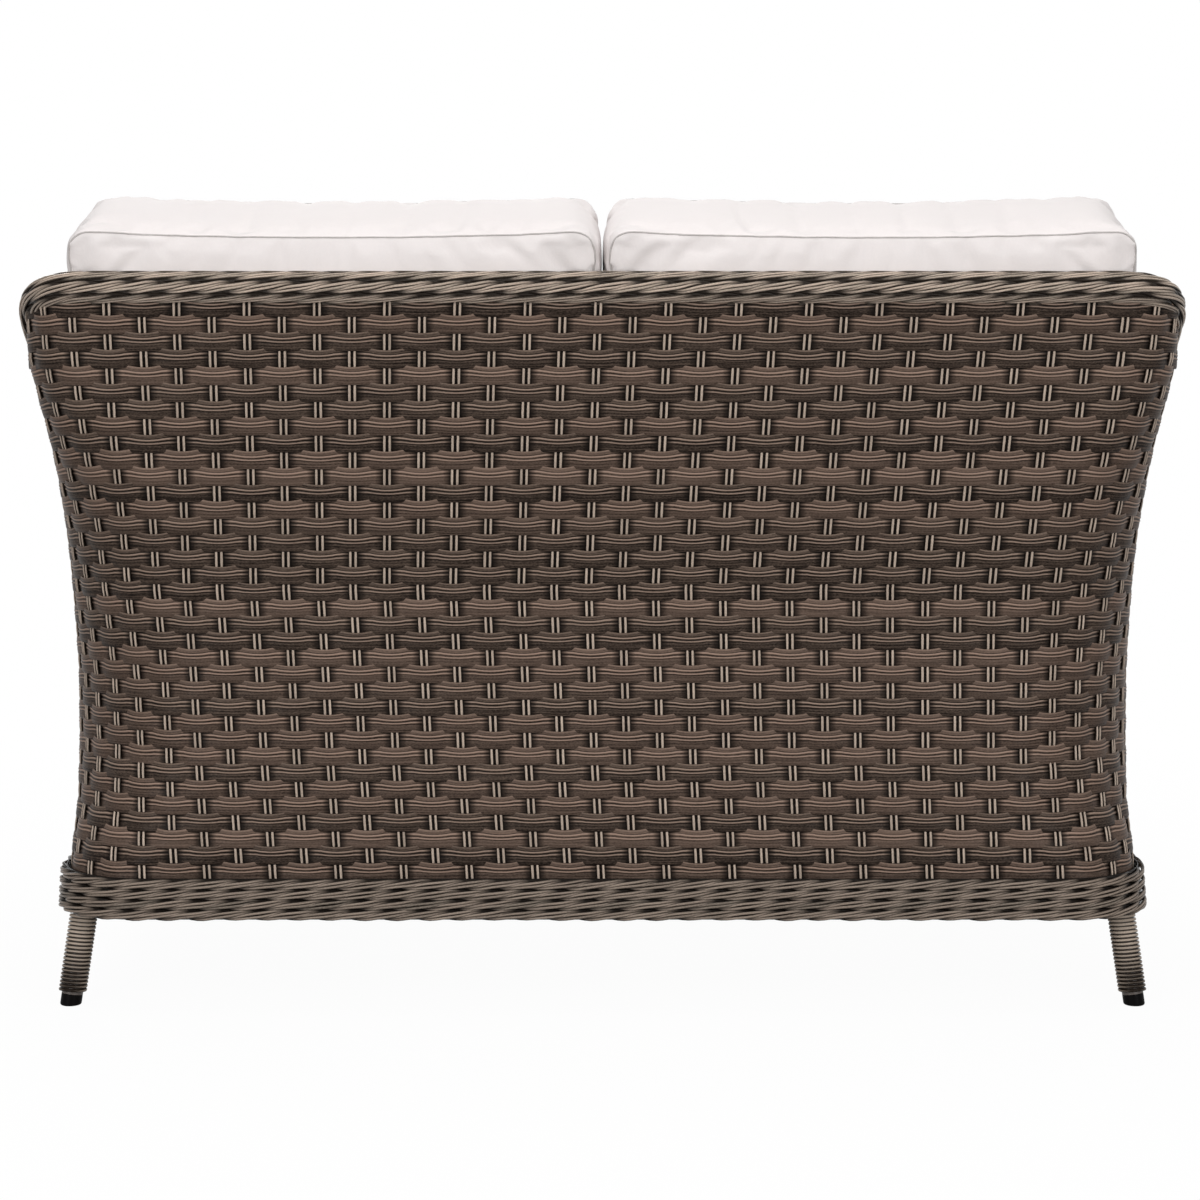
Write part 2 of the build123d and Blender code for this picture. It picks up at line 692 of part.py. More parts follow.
# Zips in the rear boxing of the seat cushions
with BuildPart() as zip_strip:
    add(seat_form(-wrap_clearance - zip_thickness))
    add(seat_form(-wrap_clearance), mode=Mode.SUBTRACT)
    with BuildSketch(Plane(origin=seat_base.origin, x_dir=(1, 0, 0), z_dir=(0, 1, 0))):
        Rectangle(zip_length, zip_width)
    extrude(amount=seat_cushion_depth, mode=Mode.INTERSECT)
save_pair(zip_strip.part, "seat_cushion_zip")
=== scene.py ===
"""Dresses a loveseat's frame: woven shell, braids, leg windings, cushions and a plain stage.

Metres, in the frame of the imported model: +Z up, the seat faces -Y, the sitter's left is +X.
"""

import math

import bmesh
import bpy
import numpy as np
from bpy.props import FloatProperty, FloatVectorProperty, PointerProperty
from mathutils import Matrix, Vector
from mathutils.bvhtree import BVHTree
from mathutils.kdtree import KDTree


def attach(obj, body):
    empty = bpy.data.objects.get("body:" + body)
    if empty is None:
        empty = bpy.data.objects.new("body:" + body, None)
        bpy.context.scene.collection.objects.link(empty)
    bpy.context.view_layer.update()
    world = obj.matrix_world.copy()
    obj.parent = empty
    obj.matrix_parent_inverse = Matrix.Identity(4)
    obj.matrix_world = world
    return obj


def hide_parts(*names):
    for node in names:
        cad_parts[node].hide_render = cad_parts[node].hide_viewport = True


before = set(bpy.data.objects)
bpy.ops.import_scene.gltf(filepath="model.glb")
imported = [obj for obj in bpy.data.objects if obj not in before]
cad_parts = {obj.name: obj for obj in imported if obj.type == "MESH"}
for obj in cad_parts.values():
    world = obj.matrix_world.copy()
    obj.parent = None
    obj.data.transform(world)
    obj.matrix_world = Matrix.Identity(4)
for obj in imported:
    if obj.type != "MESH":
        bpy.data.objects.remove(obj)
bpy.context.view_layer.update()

bl_info = {
    "name": "Wicker loveseat",
    "version": (1, 0, 0),
    "blender": (4, 5, 0),
    "location": "View3D > Sidebar > Loveseat",
    "description": "Weaves and upholsters a two-seat wicker loveseat round its packed frame",
    "category": "Object",
}

SIDES = ("left", "right")
SEED = 11
LEFT, FORWARD, UP = np.array([1.0, 0, 0]), np.array([0.0, -1, 0]), np.array([0.0, 0, 1])

# Shell of the loveseat, as the frame has it
SHELL_BOTTOM = 0.116
RAIL_HEIGHT = 0.846
WAIST_HALF_WIDTH = 0.6455
SIDE_FLARE = 0.024
BOTTOM_KICK = 0.008
TOP_CORNER_RADIUS = 0.075
WAIST_CORNER_RADIUS = 0.200
LEAN_START = 0.392
LEAN_END = 0.572
LEAN = math.radians(13)
WEAVE_THICKNESS = 0.008
RAIL_SETBACK = 0.010

# Height share, flare share, corner radius share and kick share of each ring of the shell
SHELL_SHARES = np.array((
    (0.000, -0.23, 0.14, 1.00),
    (0.084, -0.20, 0.36, 0.75),
    (0.166, -0.17, 0.72, 0.35),
    (0.261, 0.00, 0.98, 0.05),
    (0.370, 0.00, 0.98, 0.00),
    (0.430, 0.00, 0.90, 0.00),
    (0.490, 0.01, 0.82, 0.00),
    (0.550, 0.03, 0.74, 0.00),
    (0.620, 0.08, 0.64, 0.00),
    (0.702, 0.17, 0.45, 0.00),
    (0.760, 0.29, 0.29, 0.00),
    (0.820, 0.54, 0.15, 0.00),
    (0.890, 0.85, 0.04, 0.00),
    (1.000, 0.80, 0.00, 0.00),
))

# Rail along the back and the arms, at its centre line
RAIL_X = 0.652
RAIL_Y = 0.400
POST_Y = -0.400
CORNER_RADIUS = 0.070
CORNER_DROP = 0.034
ARM_HEIGHT = 0.652
ARM_SWEEP = 0.390
ARM_SLOPE = math.radians(40)
ARM_FRONT_RADIUS = 0.080
ARM_TILT = math.tan(math.radians(1.75))
BRAID_RADIUS = 0.019
FRONT_BRAID_RADIUS = 0.016
FRONT_BRAID_HEIGHT = 0.296
BRAID_DEPTH = 0.008
BRAID_ROWS = 7
FRONT_BRAID_ROWS = 6
ROD_STEP = 0.0075

# Border round the foot
BORDER_HEIGHT = 0.047
BORDER_ROWS = 4
BORDER_PROUD = 0.011
BORDER_FRONT_RADIUS = 0.034
APRON_Y = -0.404
APRON_ROWS = 7

# Seat deck
DECK_TOP = 0.312
DECK_HALF_WIDTH = 0.609
DECK_FRONT = POST_Y + 0.004
DECK_REAR = 0.2949
DECK_CORNER = 0.165
DECK_COLUMN_PITCH = 0.0388
DECK_SWING = 0.0011
DECK_SAMPLES = 3.2
DECK_STRIP_THICKNESS = 0.0014
DECK_RIB_DEPTH = 0.0003

# Rows and stakes of the weave: first row, stakes to each side of the middle one, the last of
# them at an even pitch, and the pitch and sideways drift of the stakes at several heights
FIRST_ROW = 0.1705
ROW_PITCH = 0.0192
ROW_COUNT = 35
SIDE_STAKES = 34
EVEN_STAKES = 18
MIDDLE_STAKES = 11
PITCH_HEIGHTS = (0.17, 0.345, 0.50, 0.807)
STAKE_PITCHES = (0.0382, 0.0385, 0.0388, 0.0395)
DRIFT_HEIGHTS = (0.12, 0.30, 0.50, 0.66, 0.85)
STAKE_DRIFTS = (-0.001, 0.010, 0.017, 0.011, 0.004)
STAKE_SWING = 0.0007
SAMPLES_PER_STAKE = 8
ROWS_PER_PIECE = 6

# How much wider a strip lies where it passes behind, which closes the weave, and how much wider
# the low rows are, which are seen from above
UNDER_SPREAD = 0.22
LOW_ROWS = 12
LOW_ROW_SPREAD = 0.0008

# Grey across a flat strip, from its lower edge to its upper edge, which paints light and shade:
# highlights on its two ribs, shade in the grooves beside them and at its edges, and a paler
# upper edge lit from above
STRIP_LIGHT_AND_SHADE = (
    (0.00, 0.03), (0.04, 0.26), (0.11, 0.19), (0.18, 0.29), (0.26, 0.19), (0.35, 0.28),
    (0.415, 0.20), (0.440, 0.00), (0.48, 0.66), (0.51, 0.92), (0.545, 0.40), (0.585, 0.00),
    (0.64, 0.28), (0.68, 0.92), (0.71, 1.05), (0.745, 0.28), (0.765, 0.04), (0.80, 0.36),
    (0.88, 0.30), (0.93, 0.44), (0.985, 0.52), (1.00, 0.10),
)

# How the cushions' cloth behaves while it is blown up
CLOTH = {
    "quality": 4, "mass": 0.25, "tension_stiffness": 14, "compression_stiffness": 14,
    "shear_stiffness": 6, "bending_stiffness": 0.4, "use_pressure": True, "shrink_min": -0.035,
    "vertex_group_mass": "seams", "pin_stiffness": 1.0,
}
CLOTH_FRAMES = 20

# Picture that the camera is set for
PICTURE_WIDTH = 1200.0
SENSOR_WIDTH = 36.0

# Each lamp's name, place, aim, size and share of the lamp power
LAMPS = (
    ("top_lamp", (0.0, 0.5, 3.4), (0.0, 0.1, 0.4), 2.2, 0.52),
    ("front_lamp", (0.8, -3.3, 2.0), (0.0, 0.0, 0.4), 2.0, 0.95),
    ("left_high_lamp", (0.9, 2.3, 1.65), (0.0, 0.3, 0.7), 0.8, 0.19),
    ("right_high_lamp", (-0.9, 2.3, 1.65), (0.0, 0.3, 0.7), 0.8, 0.19),
    ("left_low_lamp", (2.3, 3.6, 0.75), (0.0, 0.2, 0.65), 0.6, 0.60),
    ("right_low_lamp", (-2.3, 3.6, 0.75), (0.0, 0.2, 0.65), 0.6, 0.60),
)
WHITE = (1.0, 1.0, 1.0, 1.0)


def outer_lean(z):
    """How far the shell has leaned back at heights z."""
    bend = (LEAN_END - LEAN_START) / math.sin(LEAN)
    rise = (LEAN_END - LEAN_START) * math.tan(LEAN / 2)
    inside = np.clip(z - LEAN_START, 0, LEAN_END - LEAN_START)
    return np.where(z < LEAN_END, bend - np.sqrt(bend**2 - inside**2),
                    rise + (z - LEAN_END) * math.tan(LEAN))


WAIST_Y = RAIL_Y + RAIL_SETBACK - float(outer_lean(np.array(RAIL_HEIGHT)))


def shell_at(z):
    """Half width, rear face and corner radius of the shell's outside at heights z."""
    z = np.asarray(z, float)
    share = (z - SHELL_BOTTOM) / (RAIL_HEIGHT - SHELL_BOTTOM)
    flare, corner, kick = (np.interp(share, SHELL_SHARES[:, 0], SHELL_SHARES[:, column])
                           for column in (1, 2, 3))
    half_width = WAIST_HALF_WIDTH + SIDE_FLARE * flare
    radius = TOP_CORNER_RADIUS + (WAIST_CORNER_RADIUS - TOP_CORNER_RADIUS) * corner
    return half_width, WAIST_Y + outer_lean(z) + BOTTOM_KICK * kick, radius


def outline(z, s):
    """Points of the shell at heights z and distances s from the middle of the back, and normals."""
    half_width, rear, radius = shell_at(z)
    s = np.asarray(s, float)
    run = np.abs(s)
    flat = half_width - radius
    angle = np.clip((run - flat) / radius, 0, math.pi / 2)
    x = np.minimum(run, flat) + radius * np.sin(angle)
    y = rear - radius + radius * np.cos(angle) - np.maximum(run - flat - radius * math.pi / 2, 0)
    sign = np.where(s < 0, -1.0, 1.0)
    return joined(x * sign, y, z), joined(np.sin(angle) * sign, np.cos(angle), 0.0)


def side_length(z):
    """Length of the shell's outline from the middle of the back to the front post."""
    half_width, rear, radius = shell_at(z)
    return half_width - radius + radius * math.pi / 2 + rear - radius - POST_Y


def joined(x, y, z):
    """Points from coordinates, each of them one number or many."""
    return np.stack(np.broadcast_arrays(x, y, z), -1)


def unit(vectors):
    """Vectors at length one."""
    return vectors / np.maximum(np.linalg.norm(vectors, axis=-1, keepdims=True), 1e-12)


def squared(vectors, travel):
    """Vectors without what points along the travel."""
    return vectors - travel * np.sum(vectors * travel, -1, keepdims=True)


def travel_along(line):
    """Direction of a line at each of its points."""
    return unit(np.gradient(line, axis=0))


def run_along(line):
    """Distance of each point of a line from its start."""
    return np.concatenate([[0], np.cumsum(np.linalg.norm(np.diff(line, axis=0), axis=1))])


def resample(line, lengths, step):
    """Evenly spaced points along a line, and their distances."""
    at = np.linspace(0, lengths[-1], max(2, int(round(lengths[-1] / step)) + 1))
    return np.stack([np.interp(at, lengths, line[:, axis]) for axis in range(3)], -1), at


def arc(start, direction, end, count=24):
    """Points on the arc that leaves start along a direction and reaches end."""
    chord = end - start
    direction = unit(direction)
    across = chord - direction * chord.dot(direction)
    half = math.atan2(np.linalg.norm(across), chord.dot(direction))
    radius = np.linalg.norm(chord) / (2 * math.sin(half))
    turn = np.linspace(0, 2 * half, count)[:, None]
    return start + radius * (np.sin(turn) * direction + (1 - np.cos(turn)) * unit(across))


def bent_edge(start, start_direction, end, end_direction):
    """Points on the two arcs that leave start and reach end along the given directions."""
    t0, t1 = unit(start_direction), unit(end_direction)
    v, t = end - start, t0 + t1
    fall = 2 * (1 - t0.dot(t1))
    reach = (-v.dot(t) + math.sqrt(v.dot(t) ** 2 + fall * v.dot(v))) / fall
    middle = (start + t0 * reach + end - t1 * reach) / 2
    chord = unit(middle - start)
    second = chord * (2 * chord.dot(t0)) - t0
    return np.concatenate([arc(start, t0, middle), arc(middle, second, end)[1:]])


def rail_x_at(z):
    """Centre of the arm rail and the post, which tip inwards as they go down."""
    return RAIL_X - (RAIL_HEIGHT - z) * ARM_TILT


def post_point(y, z):
    """Point of the arm rail's centre line, or of the post's, by its y and its height."""
    return np.array([rail_x_at(z), y, z])


def rail_half():
    """Points along the rail from the middle of the back to the foot of the left post, and marks."""
    corner_start = np.array([RAIL_X - CORNER_RADIUS, RAIL_Y, RAIL_HEIGHT])
    corner_end = post_point(RAIL_Y - CORNER_RADIUS, RAIL_HEIGHT - CORNER_DROP)
    down, along = math.sin(ARM_SLOPE), math.cos(ARM_SLOPE)
    arm_start = np.array([-down * ARM_TILT, -along, -down])
    back = np.array([[0.0, RAIL_Y, RAIL_HEIGHT]])
    corner = bent_edge(corner_start, LEFT, corner_end, arm_start)
    sweep = bent_edge(corner_end, arm_start, post_point(corner_end[1] - ARM_SWEEP, ARM_HEIGHT),
                      FORWARD)
    front = arc(post_point(POST_Y + ARM_FRONT_RADIUS, ARM_HEIGHT), FORWARD,
                post_point(POST_Y, ARM_HEIGHT - ARM_FRONT_RADIUS))
    foot = post_point(POST_Y, SHELL_BOTTOM + BORDER_HEIGHT - 0.004)
    points = np.concatenate([back, corner, sweep[1:], front, foot[None]])
    lengths = run_along(points)
    return points, lengths, lengths[len(corner)]


RAIL_POINTS, RAIL_LENGTHS, RAIL_CORNER_MARK = rail_half()


def carried_frames(line, first_out):
    """Side and out directions that follow a line without spinning, from a first out direction."""
    travel = travel_along(line)
    outs = np.empty_like(line)
    out = first_out
    for place, direction in enumerate(travel):
        out = unit(squared(out, direction))
        outs[place] = out
    return np.cross(outs, travel), outs


def arm_cut(z):
    """Where the arm rail's centre line crosses height z, as a y, for every height."""
    low = RAIL_POINTS[RAIL_LENGTHS >= RAIL_CORNER_MARK - 1e-9]
    sweep = low[low[:, 1] >= POST_Y + ARM_FRONT_RADIUS]
    order = np.argsort(sweep[:, 2])
    slope_y = np.interp(z, sweep[order, 2], sweep[order, 1])
    bend_z = ARM_HEIGHT - ARM_FRONT_RADIUS
    inside = np.clip(z - bend_z, 0, ARM_FRONT_RADIUS)
    bend_y = POST_Y + ARM_FRONT_RADIUS - np.sqrt(np.maximum(ARM_FRONT_RADIUS**2 - inside**2, 0))
    return np.where(z < ARM_HEIGHT, np.where(z < bend_z, POST_Y, bend_y), slope_y)


def shell_end(z):
    """Distance from the middle of the back at which the shell ends at a height."""
    if z > RAIL_HEIGHT - CORNER_DROP:
        top = RAIL_POINTS[(RAIL_LENGTHS <= RAIL_CORNER_MARK + 1e-9)][1:]
        order = np.argsort(top[:, 2])
        goal = np.array([np.interp(z, top[order, 2], top[order, axis]) for axis in (0, 1)])
    else:
        goal = np.array([float(shell_at(z)[0]), float(arm_cut(z))])
    s = np.linspace(0.3, float(side_length(z)), 1500)
    points, _ = outline(z, s)
    return float(s[np.argmin(np.hypot(*(points[:, :2] - goal).T))])


def stake_distance(number, z):
    """Distance from the middle of the back of a stake, whose number may lie between stakes."""
    z = np.asarray(z, float)
    count = np.abs(np.asarray(number, float))
    pitch = np.interp(z, PITCH_HEIGHTS, STAKE_PITCHES)
    drift = np.interp(z, DRIFT_HEIGHTS, STAKE_DRIFTS)
    rest = np.maximum(count - EVEN_STAKES, 0) / (SIDE_STAKES + 0.5 - EVEN_STAKES)
    run = (np.minimum(count, EVEN_STAKES) * pitch
           + rest * (side_length(z) - EVEN_STAKES * pitch))
    return np.sign(number) * run + drift * (1 - (count / (SIDE_STAKES + 0.5)) ** 2)


def round_profile(radius, sides=8):
    """Corners of a rod's section, across and outwards. A section runs anticlockwise."""
    turn = np.linspace(0, 2 * math.pi, sides, endpoint=False)
    return np.stack([radius * np.cos(turn), radius * np.sin(turn)], -1)


def strip_profile(height, thickness, rib_depth):
    """Section of a flat strip, across and outwards: two ribs at and above its middle."""
    across = np.array([-0.5, -0.485, -0.44, -0.36, -0.27, -0.18, -0.10, -0.065, -0.03, 0.0, 0.035,
                       0.065, 0.09, 0.13, 0.165, 0.20, 0.235, 0.265, 0.30, 0.38, 0.45, 0.488, 0.5])
    ribs = sum(np.exp(-((across - middle) / 0.038) ** 2) for middle in (0.0, 0.20))
    grooves = sum(np.exp(-((across - middle) / 0.020) ** 2) for middle in (-0.065, 0.09, 0.265))
    edge = 1 - np.abs(2 * across) ** 9
    front = (thickness / 2 + rib_depth * (ribs - 0.6 * grooves)) * edge
    back = np.linspace(-0.48, 0.48, 4)
    return np.concatenate([np.stack([across * height, front], -1)[::-1],
                           np.stack([back * height, np.full(4, -thickness / 2)], -1)])


class Strands:
    """Strands gathered into one mesh, each of them a section carried along a line."""

    def __init__(self):
        self.points, self.quads, self.ends, self.lay, self.front = [], [], [], [], []
        self.count = 0

    def add(self, line, sides, outs, profile, tone, front=1.0, inside=None, shade_flanks=False):
        """Adds one strand. Its lay is the way along it, the way across it and its tone.

        Front is how far its outer face lies in front of the strands that it crosses, from 0 to 1,
        and inside is the same for its inner face; the material paints shade where they are low. A
        strand with shade_flanks also gets painted shade on its flanks, which leaves it paler along
        its crest.
        """
        sides, outs = (np.broadcast_to(vectors, line.shape) for vectors in (sides, outs))
        n, m = len(line), len(profile)
        middle = n // 2
        travel = line[min(middle + 1, n - 1)] - line[middle - 1]
        if np.dot(np.cross(sides[middle], outs[middle]), travel) < 0:
            profile = profile[::-1]
        across, out = profile[:, 0], profile[:, 1]
        grid = line[:, None] + sides[:, None] * across[:, None] + outs[:, None] * out[:, None]
        index = self.count + np.arange(n * m).reshape(n, m)
        here, there = index[:-1], index[1:]
        self.quads.append(np.stack([here, np.roll(here, -1, 1), np.roll(there, -1, 1), there],
                                   -1).reshape(-1, 4))
        self.ends += [index[0][::-1], index[-1]]
        self.points.append(grid.reshape(-1, 3))
        self.lay.append(joined(run_along(line)[:, None] + tone * 7.3, across, tone).reshape(-1, 3))
        outer, inner = (np.broadcast_to(value, n)[:, None]
                        for value in (front, front if inside is None else inside))
        level = np.where(out > 0, outer, inner)
        # Painted shade on the flanks of a round strand, fading out towards its crest
        if shade_flanks:
            level = level * (np.abs(out) / np.abs(out).max()) ** 2.2
        self.front.append(level.ravel())
        self.count += n * m

    def piece(self, name, material, slot, nodes, body="frame"):
        """Makes the piece, which stands for CAD nodes and rides on a body."""
        points, quads = np.concatenate(self.points), np.concatenate(self.quads)
        loops = np.concatenate([quads.ravel(), *self.ends])
        sizes = np.concatenate([np.full(len(quads), 4), [len(end) for end in self.ends]])
        mesh = bpy.data.meshes.new(name)
        mesh.vertices.add(len(points))
        mesh.vertices.foreach_set("co", points.astype(np.float32).ravel())
        mesh.loops.add(len(loops))
        mesh.loops.foreach_set("vertex_index", loops.astype(np.int32))
        mesh.polygons.add(len(sizes))
        starts = np.concatenate([[0], np.cumsum(sizes)[:-1]]).astype(np.int32)
        mesh.polygons.foreach_set("loop_start", starts)
        mesh.update(calc_edges=True)
        mesh.attributes.new("lay", "FLOAT_VECTOR", "POINT").data.foreach_set(
            "vector", np.concatenate(self.lay).astype(np.float32).ravel())
        # The front attribute carries how far each face lies in front; the material paints shade
        # from it
        mesh.attributes.new("front", "FLOAT", "POINT").data.foreach_set(
            "value", np.concatenate(self.front).astype(np.float32))
        mesh.shade_smooth()
        return finish_piece(bpy.data.objects.new(name, mesh), material, nodes, body)


def finish_piece(piece, material, nodes, body):
    """Links a piece, gives it its material and ties it to the frame."""
    if piece.name not in bpy.context.scene.collection.objects:
        bpy.context.scene.collection.objects.link(piece)
    piece.data.materials.clear()
    piece.data.materials.append(material)
    if nodes:
        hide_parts(*nodes)
    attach(piece, body)
    return piece


class Value:
    """A socket in a material, which takes part in Python sums."""

    def __init__(self, shader, socket):
        self.shader, self.socket = shader, socket

    def sum(self, operation, first, second):
        return self.shader.node("ShaderNodeMath", {"operation": operation}, {0: first, 1: second})

    def __add__(self, other):
        return self.sum("ADD", self, other)

    def __sub__(self, other):
        return self.sum("SUBTRACT", self, other)

    def __rsub__(self, other):
        return self.sum("SUBTRACT", other, self)

    def __mul__(self, other):
        return self.sum("MULTIPLY", self, other)

    __radd__ = __add__
    __rmul__ = __mul__

    def clamped(self):
        return self.shader.node("ShaderNodeClamp", {}, {"Value": self})


class Shader:
    """A material or a surround that is written as calls."""

    def __init__(self, owner):
        self.owner = owner
        owner.use_nodes = True
        self.tree = owner.node_tree
        self.tree.nodes.clear()

    def node(self, kind, settings, sockets, output=0):
        """Makes a node, and returns one of its outputs, or nothing where it ends the tree."""
        node = self.tree.nodes.new(kind)
        for name, value in settings.items():
            if name == "stops":
                ramp = node.color_ramp
                ramp.elements.remove(ramp.elements[-1])
                ramp.elements[0].position, first = value[0]
                ramp.elements[0].color = (first, first, first, 1.0)
                for position, grey in value[1:]:
                    ramp.elements.new(position).color = (grey, grey, grey, 1.0)
            else:
                setattr(node, name, value)
        for name, value in sockets.items():
            if isinstance(value, Value):
                self.tree.links.new(value.socket, node.inputs[name])
            else:
                node.inputs[name].default_value = value
        return None if output is None else Value(self, node.outputs[output])

    def mix(self, factor, first, second, blend="MIX"):
        """Mixes two colours."""
        return self.node("ShaderNodeMix", {"data_type": "RGBA", "blend_type": blend},
                         {0: factor, 6: first, 7: second}, 2)

    def mix_shaders(self, factor, first, second):
        """Mixes two shaders."""
        return self.node("ShaderNodeMixShader", {}, {0: factor, 1: first, 2: second})

    def vector(self, operation, *inputs, output="Vector"):
        """Vector maths on its inputs."""
        return self.node("ShaderNodeVectorMath", {"operation": operation},
                         dict(enumerate(inputs)), output)

    def place(self):
        """Place in the piece's own frame."""
        return self.node("ShaderNodeTexCoord", {}, {}, "Object")

    def at(self, x, y, z=0.0):
        """A place from three values."""
        return self.node("ShaderNodeCombineXYZ", {}, {"X": x, "Y": y, "Z": z})

    def noise(self, place, scale, detail, roughness):
        """Cloudy grey noise over places."""
        return self.node("ShaderNodeTexNoise", {}, {
            "Vector": place, "Scale": scale, "Detail": detail, "Roughness": roughness})

    def bump(self, strength, distance, height):
        """A normal that is bumped by a height."""
        return self.node("ShaderNodeBump", {}, {
            "Strength": strength, "Distance": distance, "Height": height}, "Normal")

    def seen(self):
        """One for the rays of the camera, of reflections and of clear things, and nothing else."""
        rays = [self.node("ShaderNodeLightPath", {}, {}, f"Is {kind} Ray")
                for kind in ("Camera", "Glossy", "Transmission")]
        return (rays[0] + rays[1] + rays[2]).clamped()

    def surface(self, **sockets):
        """Ends the material in a Principled shader with these sockets."""
        names = {name.replace("_", " "): value for name, value in sockets.items()}
        shader = self.node("ShaderNodeBsdfPrincipled", {}, names, "BSDF")
        self.node("ShaderNodeOutputMaterial", {}, {"Surface": shader}, None)
        return self.owner


def rgba(colour, factor=1.0):
    """A colour with a full alpha, made lighter or darker by a factor."""
    return (*scaled(colour, factor), 1.0)


def scaled(colour, factor):
    """A colour made lighter or darker."""
    return tuple(min(1.0, channel * factor) for channel in colour)


def strand_material(name, light, dark, roughness, gloss, warmth, strip_height=None):
    """Resin strand: its tone differs from strand to strand, with streaks that run along it.

    A flat strip also has painted highlights on its two ribs, painted shade in the grooves beside
    them and a paler upper edge, painted as lit from above. Painted shade also darkens a strand
    where it lies behind the strands that it crosses, and on the flanks of round rods.
    """
    shader = Shader(bpy.data.materials.new(name))
    lay = shader.node("ShaderNodeAttribute", {"attribute_name": "lay"}, {}, "Vector")
    front = shader.node("ShaderNodeAttribute", {"attribute_name": "front"}, {}, "Fac")
    along, across, tone = (shader.node("ShaderNodeSeparateXYZ", {}, {"Vector": lay}, axis)
                           for axis in "XYZ")
    streaks = shader.noise(shader.at(along * 14.0, across * 900.0, tone * 31.0), 1.0, 3.0, 0.6)
    specks = shader.noise(shader.at(along * 420.0, across * 1500.0, tone * 17.0), 1.0, 2.0, 0.5)
    body = (streaks - 0.5) * 0.9 + (specks - 0.5) * 0.7 + (tone - 0.5) * 0.3
    if strip_height:
        # Painted highlights on the ribs and painted shade in the grooves and at the edges, across
        # the strip
        ribs = shader.node("ShaderNodeValToRGB", {"stops": STRIP_LIGHT_AND_SHADE},
                           {"Fac": across * (1.0 / strip_height) + 0.5})
        mixture = (body * 0.70 + ribs * 1.15 - 0.09).clamped()
    else:
        mixture = (body + 0.55).clamped()
    tint = shader.mix(mixture, rgba(dark), rgba(light))
    warm = (tone * 13.7 - 6.0).clamped() * warmth
    tint = shader.mix(warm, tint, (1.10, 0.94, 0.92, 1.0), "MULTIPLY")
    # Painted shade where a strand lies behind the strands that it crosses, and on the flanks of
    # round rods
    painted_shade = (1.15 - front * (4.0 if strip_height else 2.7)).clamped() * 0.97
    tint = shader.mix(painted_shade, tint, rgba(dark, 0.35))
    bump = shader.bump(0.35 if strip_height else 0.12, 0.0003, streaks * 0.6 + specks * 0.4)
    return shader.surface(Base_Color=tint, Roughness=streaks * 0.2 + (roughness - 0.1),
                          Normal=bump, Specular_IOR_Level=gloss)


def fabric_material(name, colour):
    """Off-white woven outdoor cloth, with a plain weave too fine to see from afar."""
    shader = Shader(bpy.data.materials.new(name))
    place = shader.place()
    cloud = shader.noise(place, 9.0, 3.0, 0.55)
    slub = shader.noise(place, 420.0, 2.0, 0.5)
    threads = [shader.node("ShaderNodeTexWave", {"wave_type": "BANDS", "bands_direction": axis}, {
        "Vector": place, "Scale": 260.0, "Distortion": 1.2, "Detail": 1.0}) for axis in "XYZ"]
    weave = threads[0] + threads[1] + threads[2]
    blend = (cloud * 0.55 + slub * 0.45 + weave * 0.05 - 0.1).clamped()
    return shader.surface(Base_Color=shader.mix(blend, rgba(colour, 0.90), rgba(colour)),
                          Roughness=slub * 0.12 + 0.82,
                          Normal=shader.bump(0.22, 0.0004, weave * 0.4 + slub * 0.6),
                          Sheen_Weight=0.25, Sheen_Roughness=0.5, Specular_IOR_Level=0.25)


def coated_metal(name, colour):
    """Powder-coated tube with a fine orange-peel surface."""
    shader = Shader(bpy.data.materials.new(name))
    place = shader.place()
    grain = shader.noise(place, 700.0, 2.0, 0.5)
    dust = shader.noise(place, 14.0, 4.0, 0.6)
    return shader.surface(Base_Color=shader.mix(dust, rgba(colour, 0.8), rgba(colour, 1.25)),
                          Roughness=dust * 0.15 + 0.38, Normal=shader.bump(0.2, 0.0002, grain))


def moulded_plastic(name, colour, gloss=0.5):
    """Moulded plastic with faint scuffs."""
    shader = Shader(bpy.data.materials.new(name))
    scuffs = shader.noise(shader.place(), 160.0, 4.0, 0.7)
    return shader.surface(Base_Color=shader.mix(scuffs, rgba(colour), rgba(colour, 1.9)),
                          Roughness=scuffs * 0.25 + 0.3, Normal=shader.bump(0.12, 0.0003, scuffs),
                          Specular_IOR_Level=gloss)


def winding_material(name, light, dark, points):
    """Rod wound round a leg: a painted highlight along its crest and painted shade between the
    coils, by the distance from the leg's own axis.
    """
    middle = points.mean(0)
    axis = np.linalg.svd(points - middle, full_matrices=False)[2][0]
    crest = float(np.percentile(np.linalg.norm(squared(points - middle, axis), axis=1), 97))
    shader = Shader(bpy.data.materials.new(name))
    offset = shader.vector("SUBTRACT", shader.place(), tuple(middle))
    along = shader.vector("DOT_PRODUCT", offset, tuple(axis), output="Value")
    across = shader.vector("CROSS_PRODUCT", offset, tuple(axis))
    reach = shader.vector("LENGTH", across, output="Value")
    # Painted highlight on the crest and painted shade between the coils, by the distance from the
    # axis
    height = shader.node("ShaderNodeMapRange", {}, {
        "Value": reach, "From Min": crest - 0.0011, "From Max": crest - 0.0001})
    streaks = shader.noise(shader.at(along * 700.0, reach * 900.0), 1.0, 3.0, 0.6)
    mixture = (height * 0.85 + (streaks - 0.5) * 0.7 - 0.1).clamped()
    return shader.surface(Base_Color=shader.mix(mixture, rgba(dark), rgba(light)),
                          Roughness=streaks * 0.2 + 0.2,
                          Normal=shader.bump(0.15, 0.0003, streaks), Specular_IOR_Level=0.06)


def length_value(name, default, description):
    """A length that a user may change."""
    return FloatProperty(name=name, description=description, default=default, unit="LENGTH")


def number_value(name, default, description):
    """A plain number that a user may change."""
    return FloatProperty(name=name, description=description, default=default)


def colour_value(name, default, description):
    """A colour that a user may change."""
    return FloatVectorProperty(name=name, description=description, default=default,
                               subtype="COLOR")


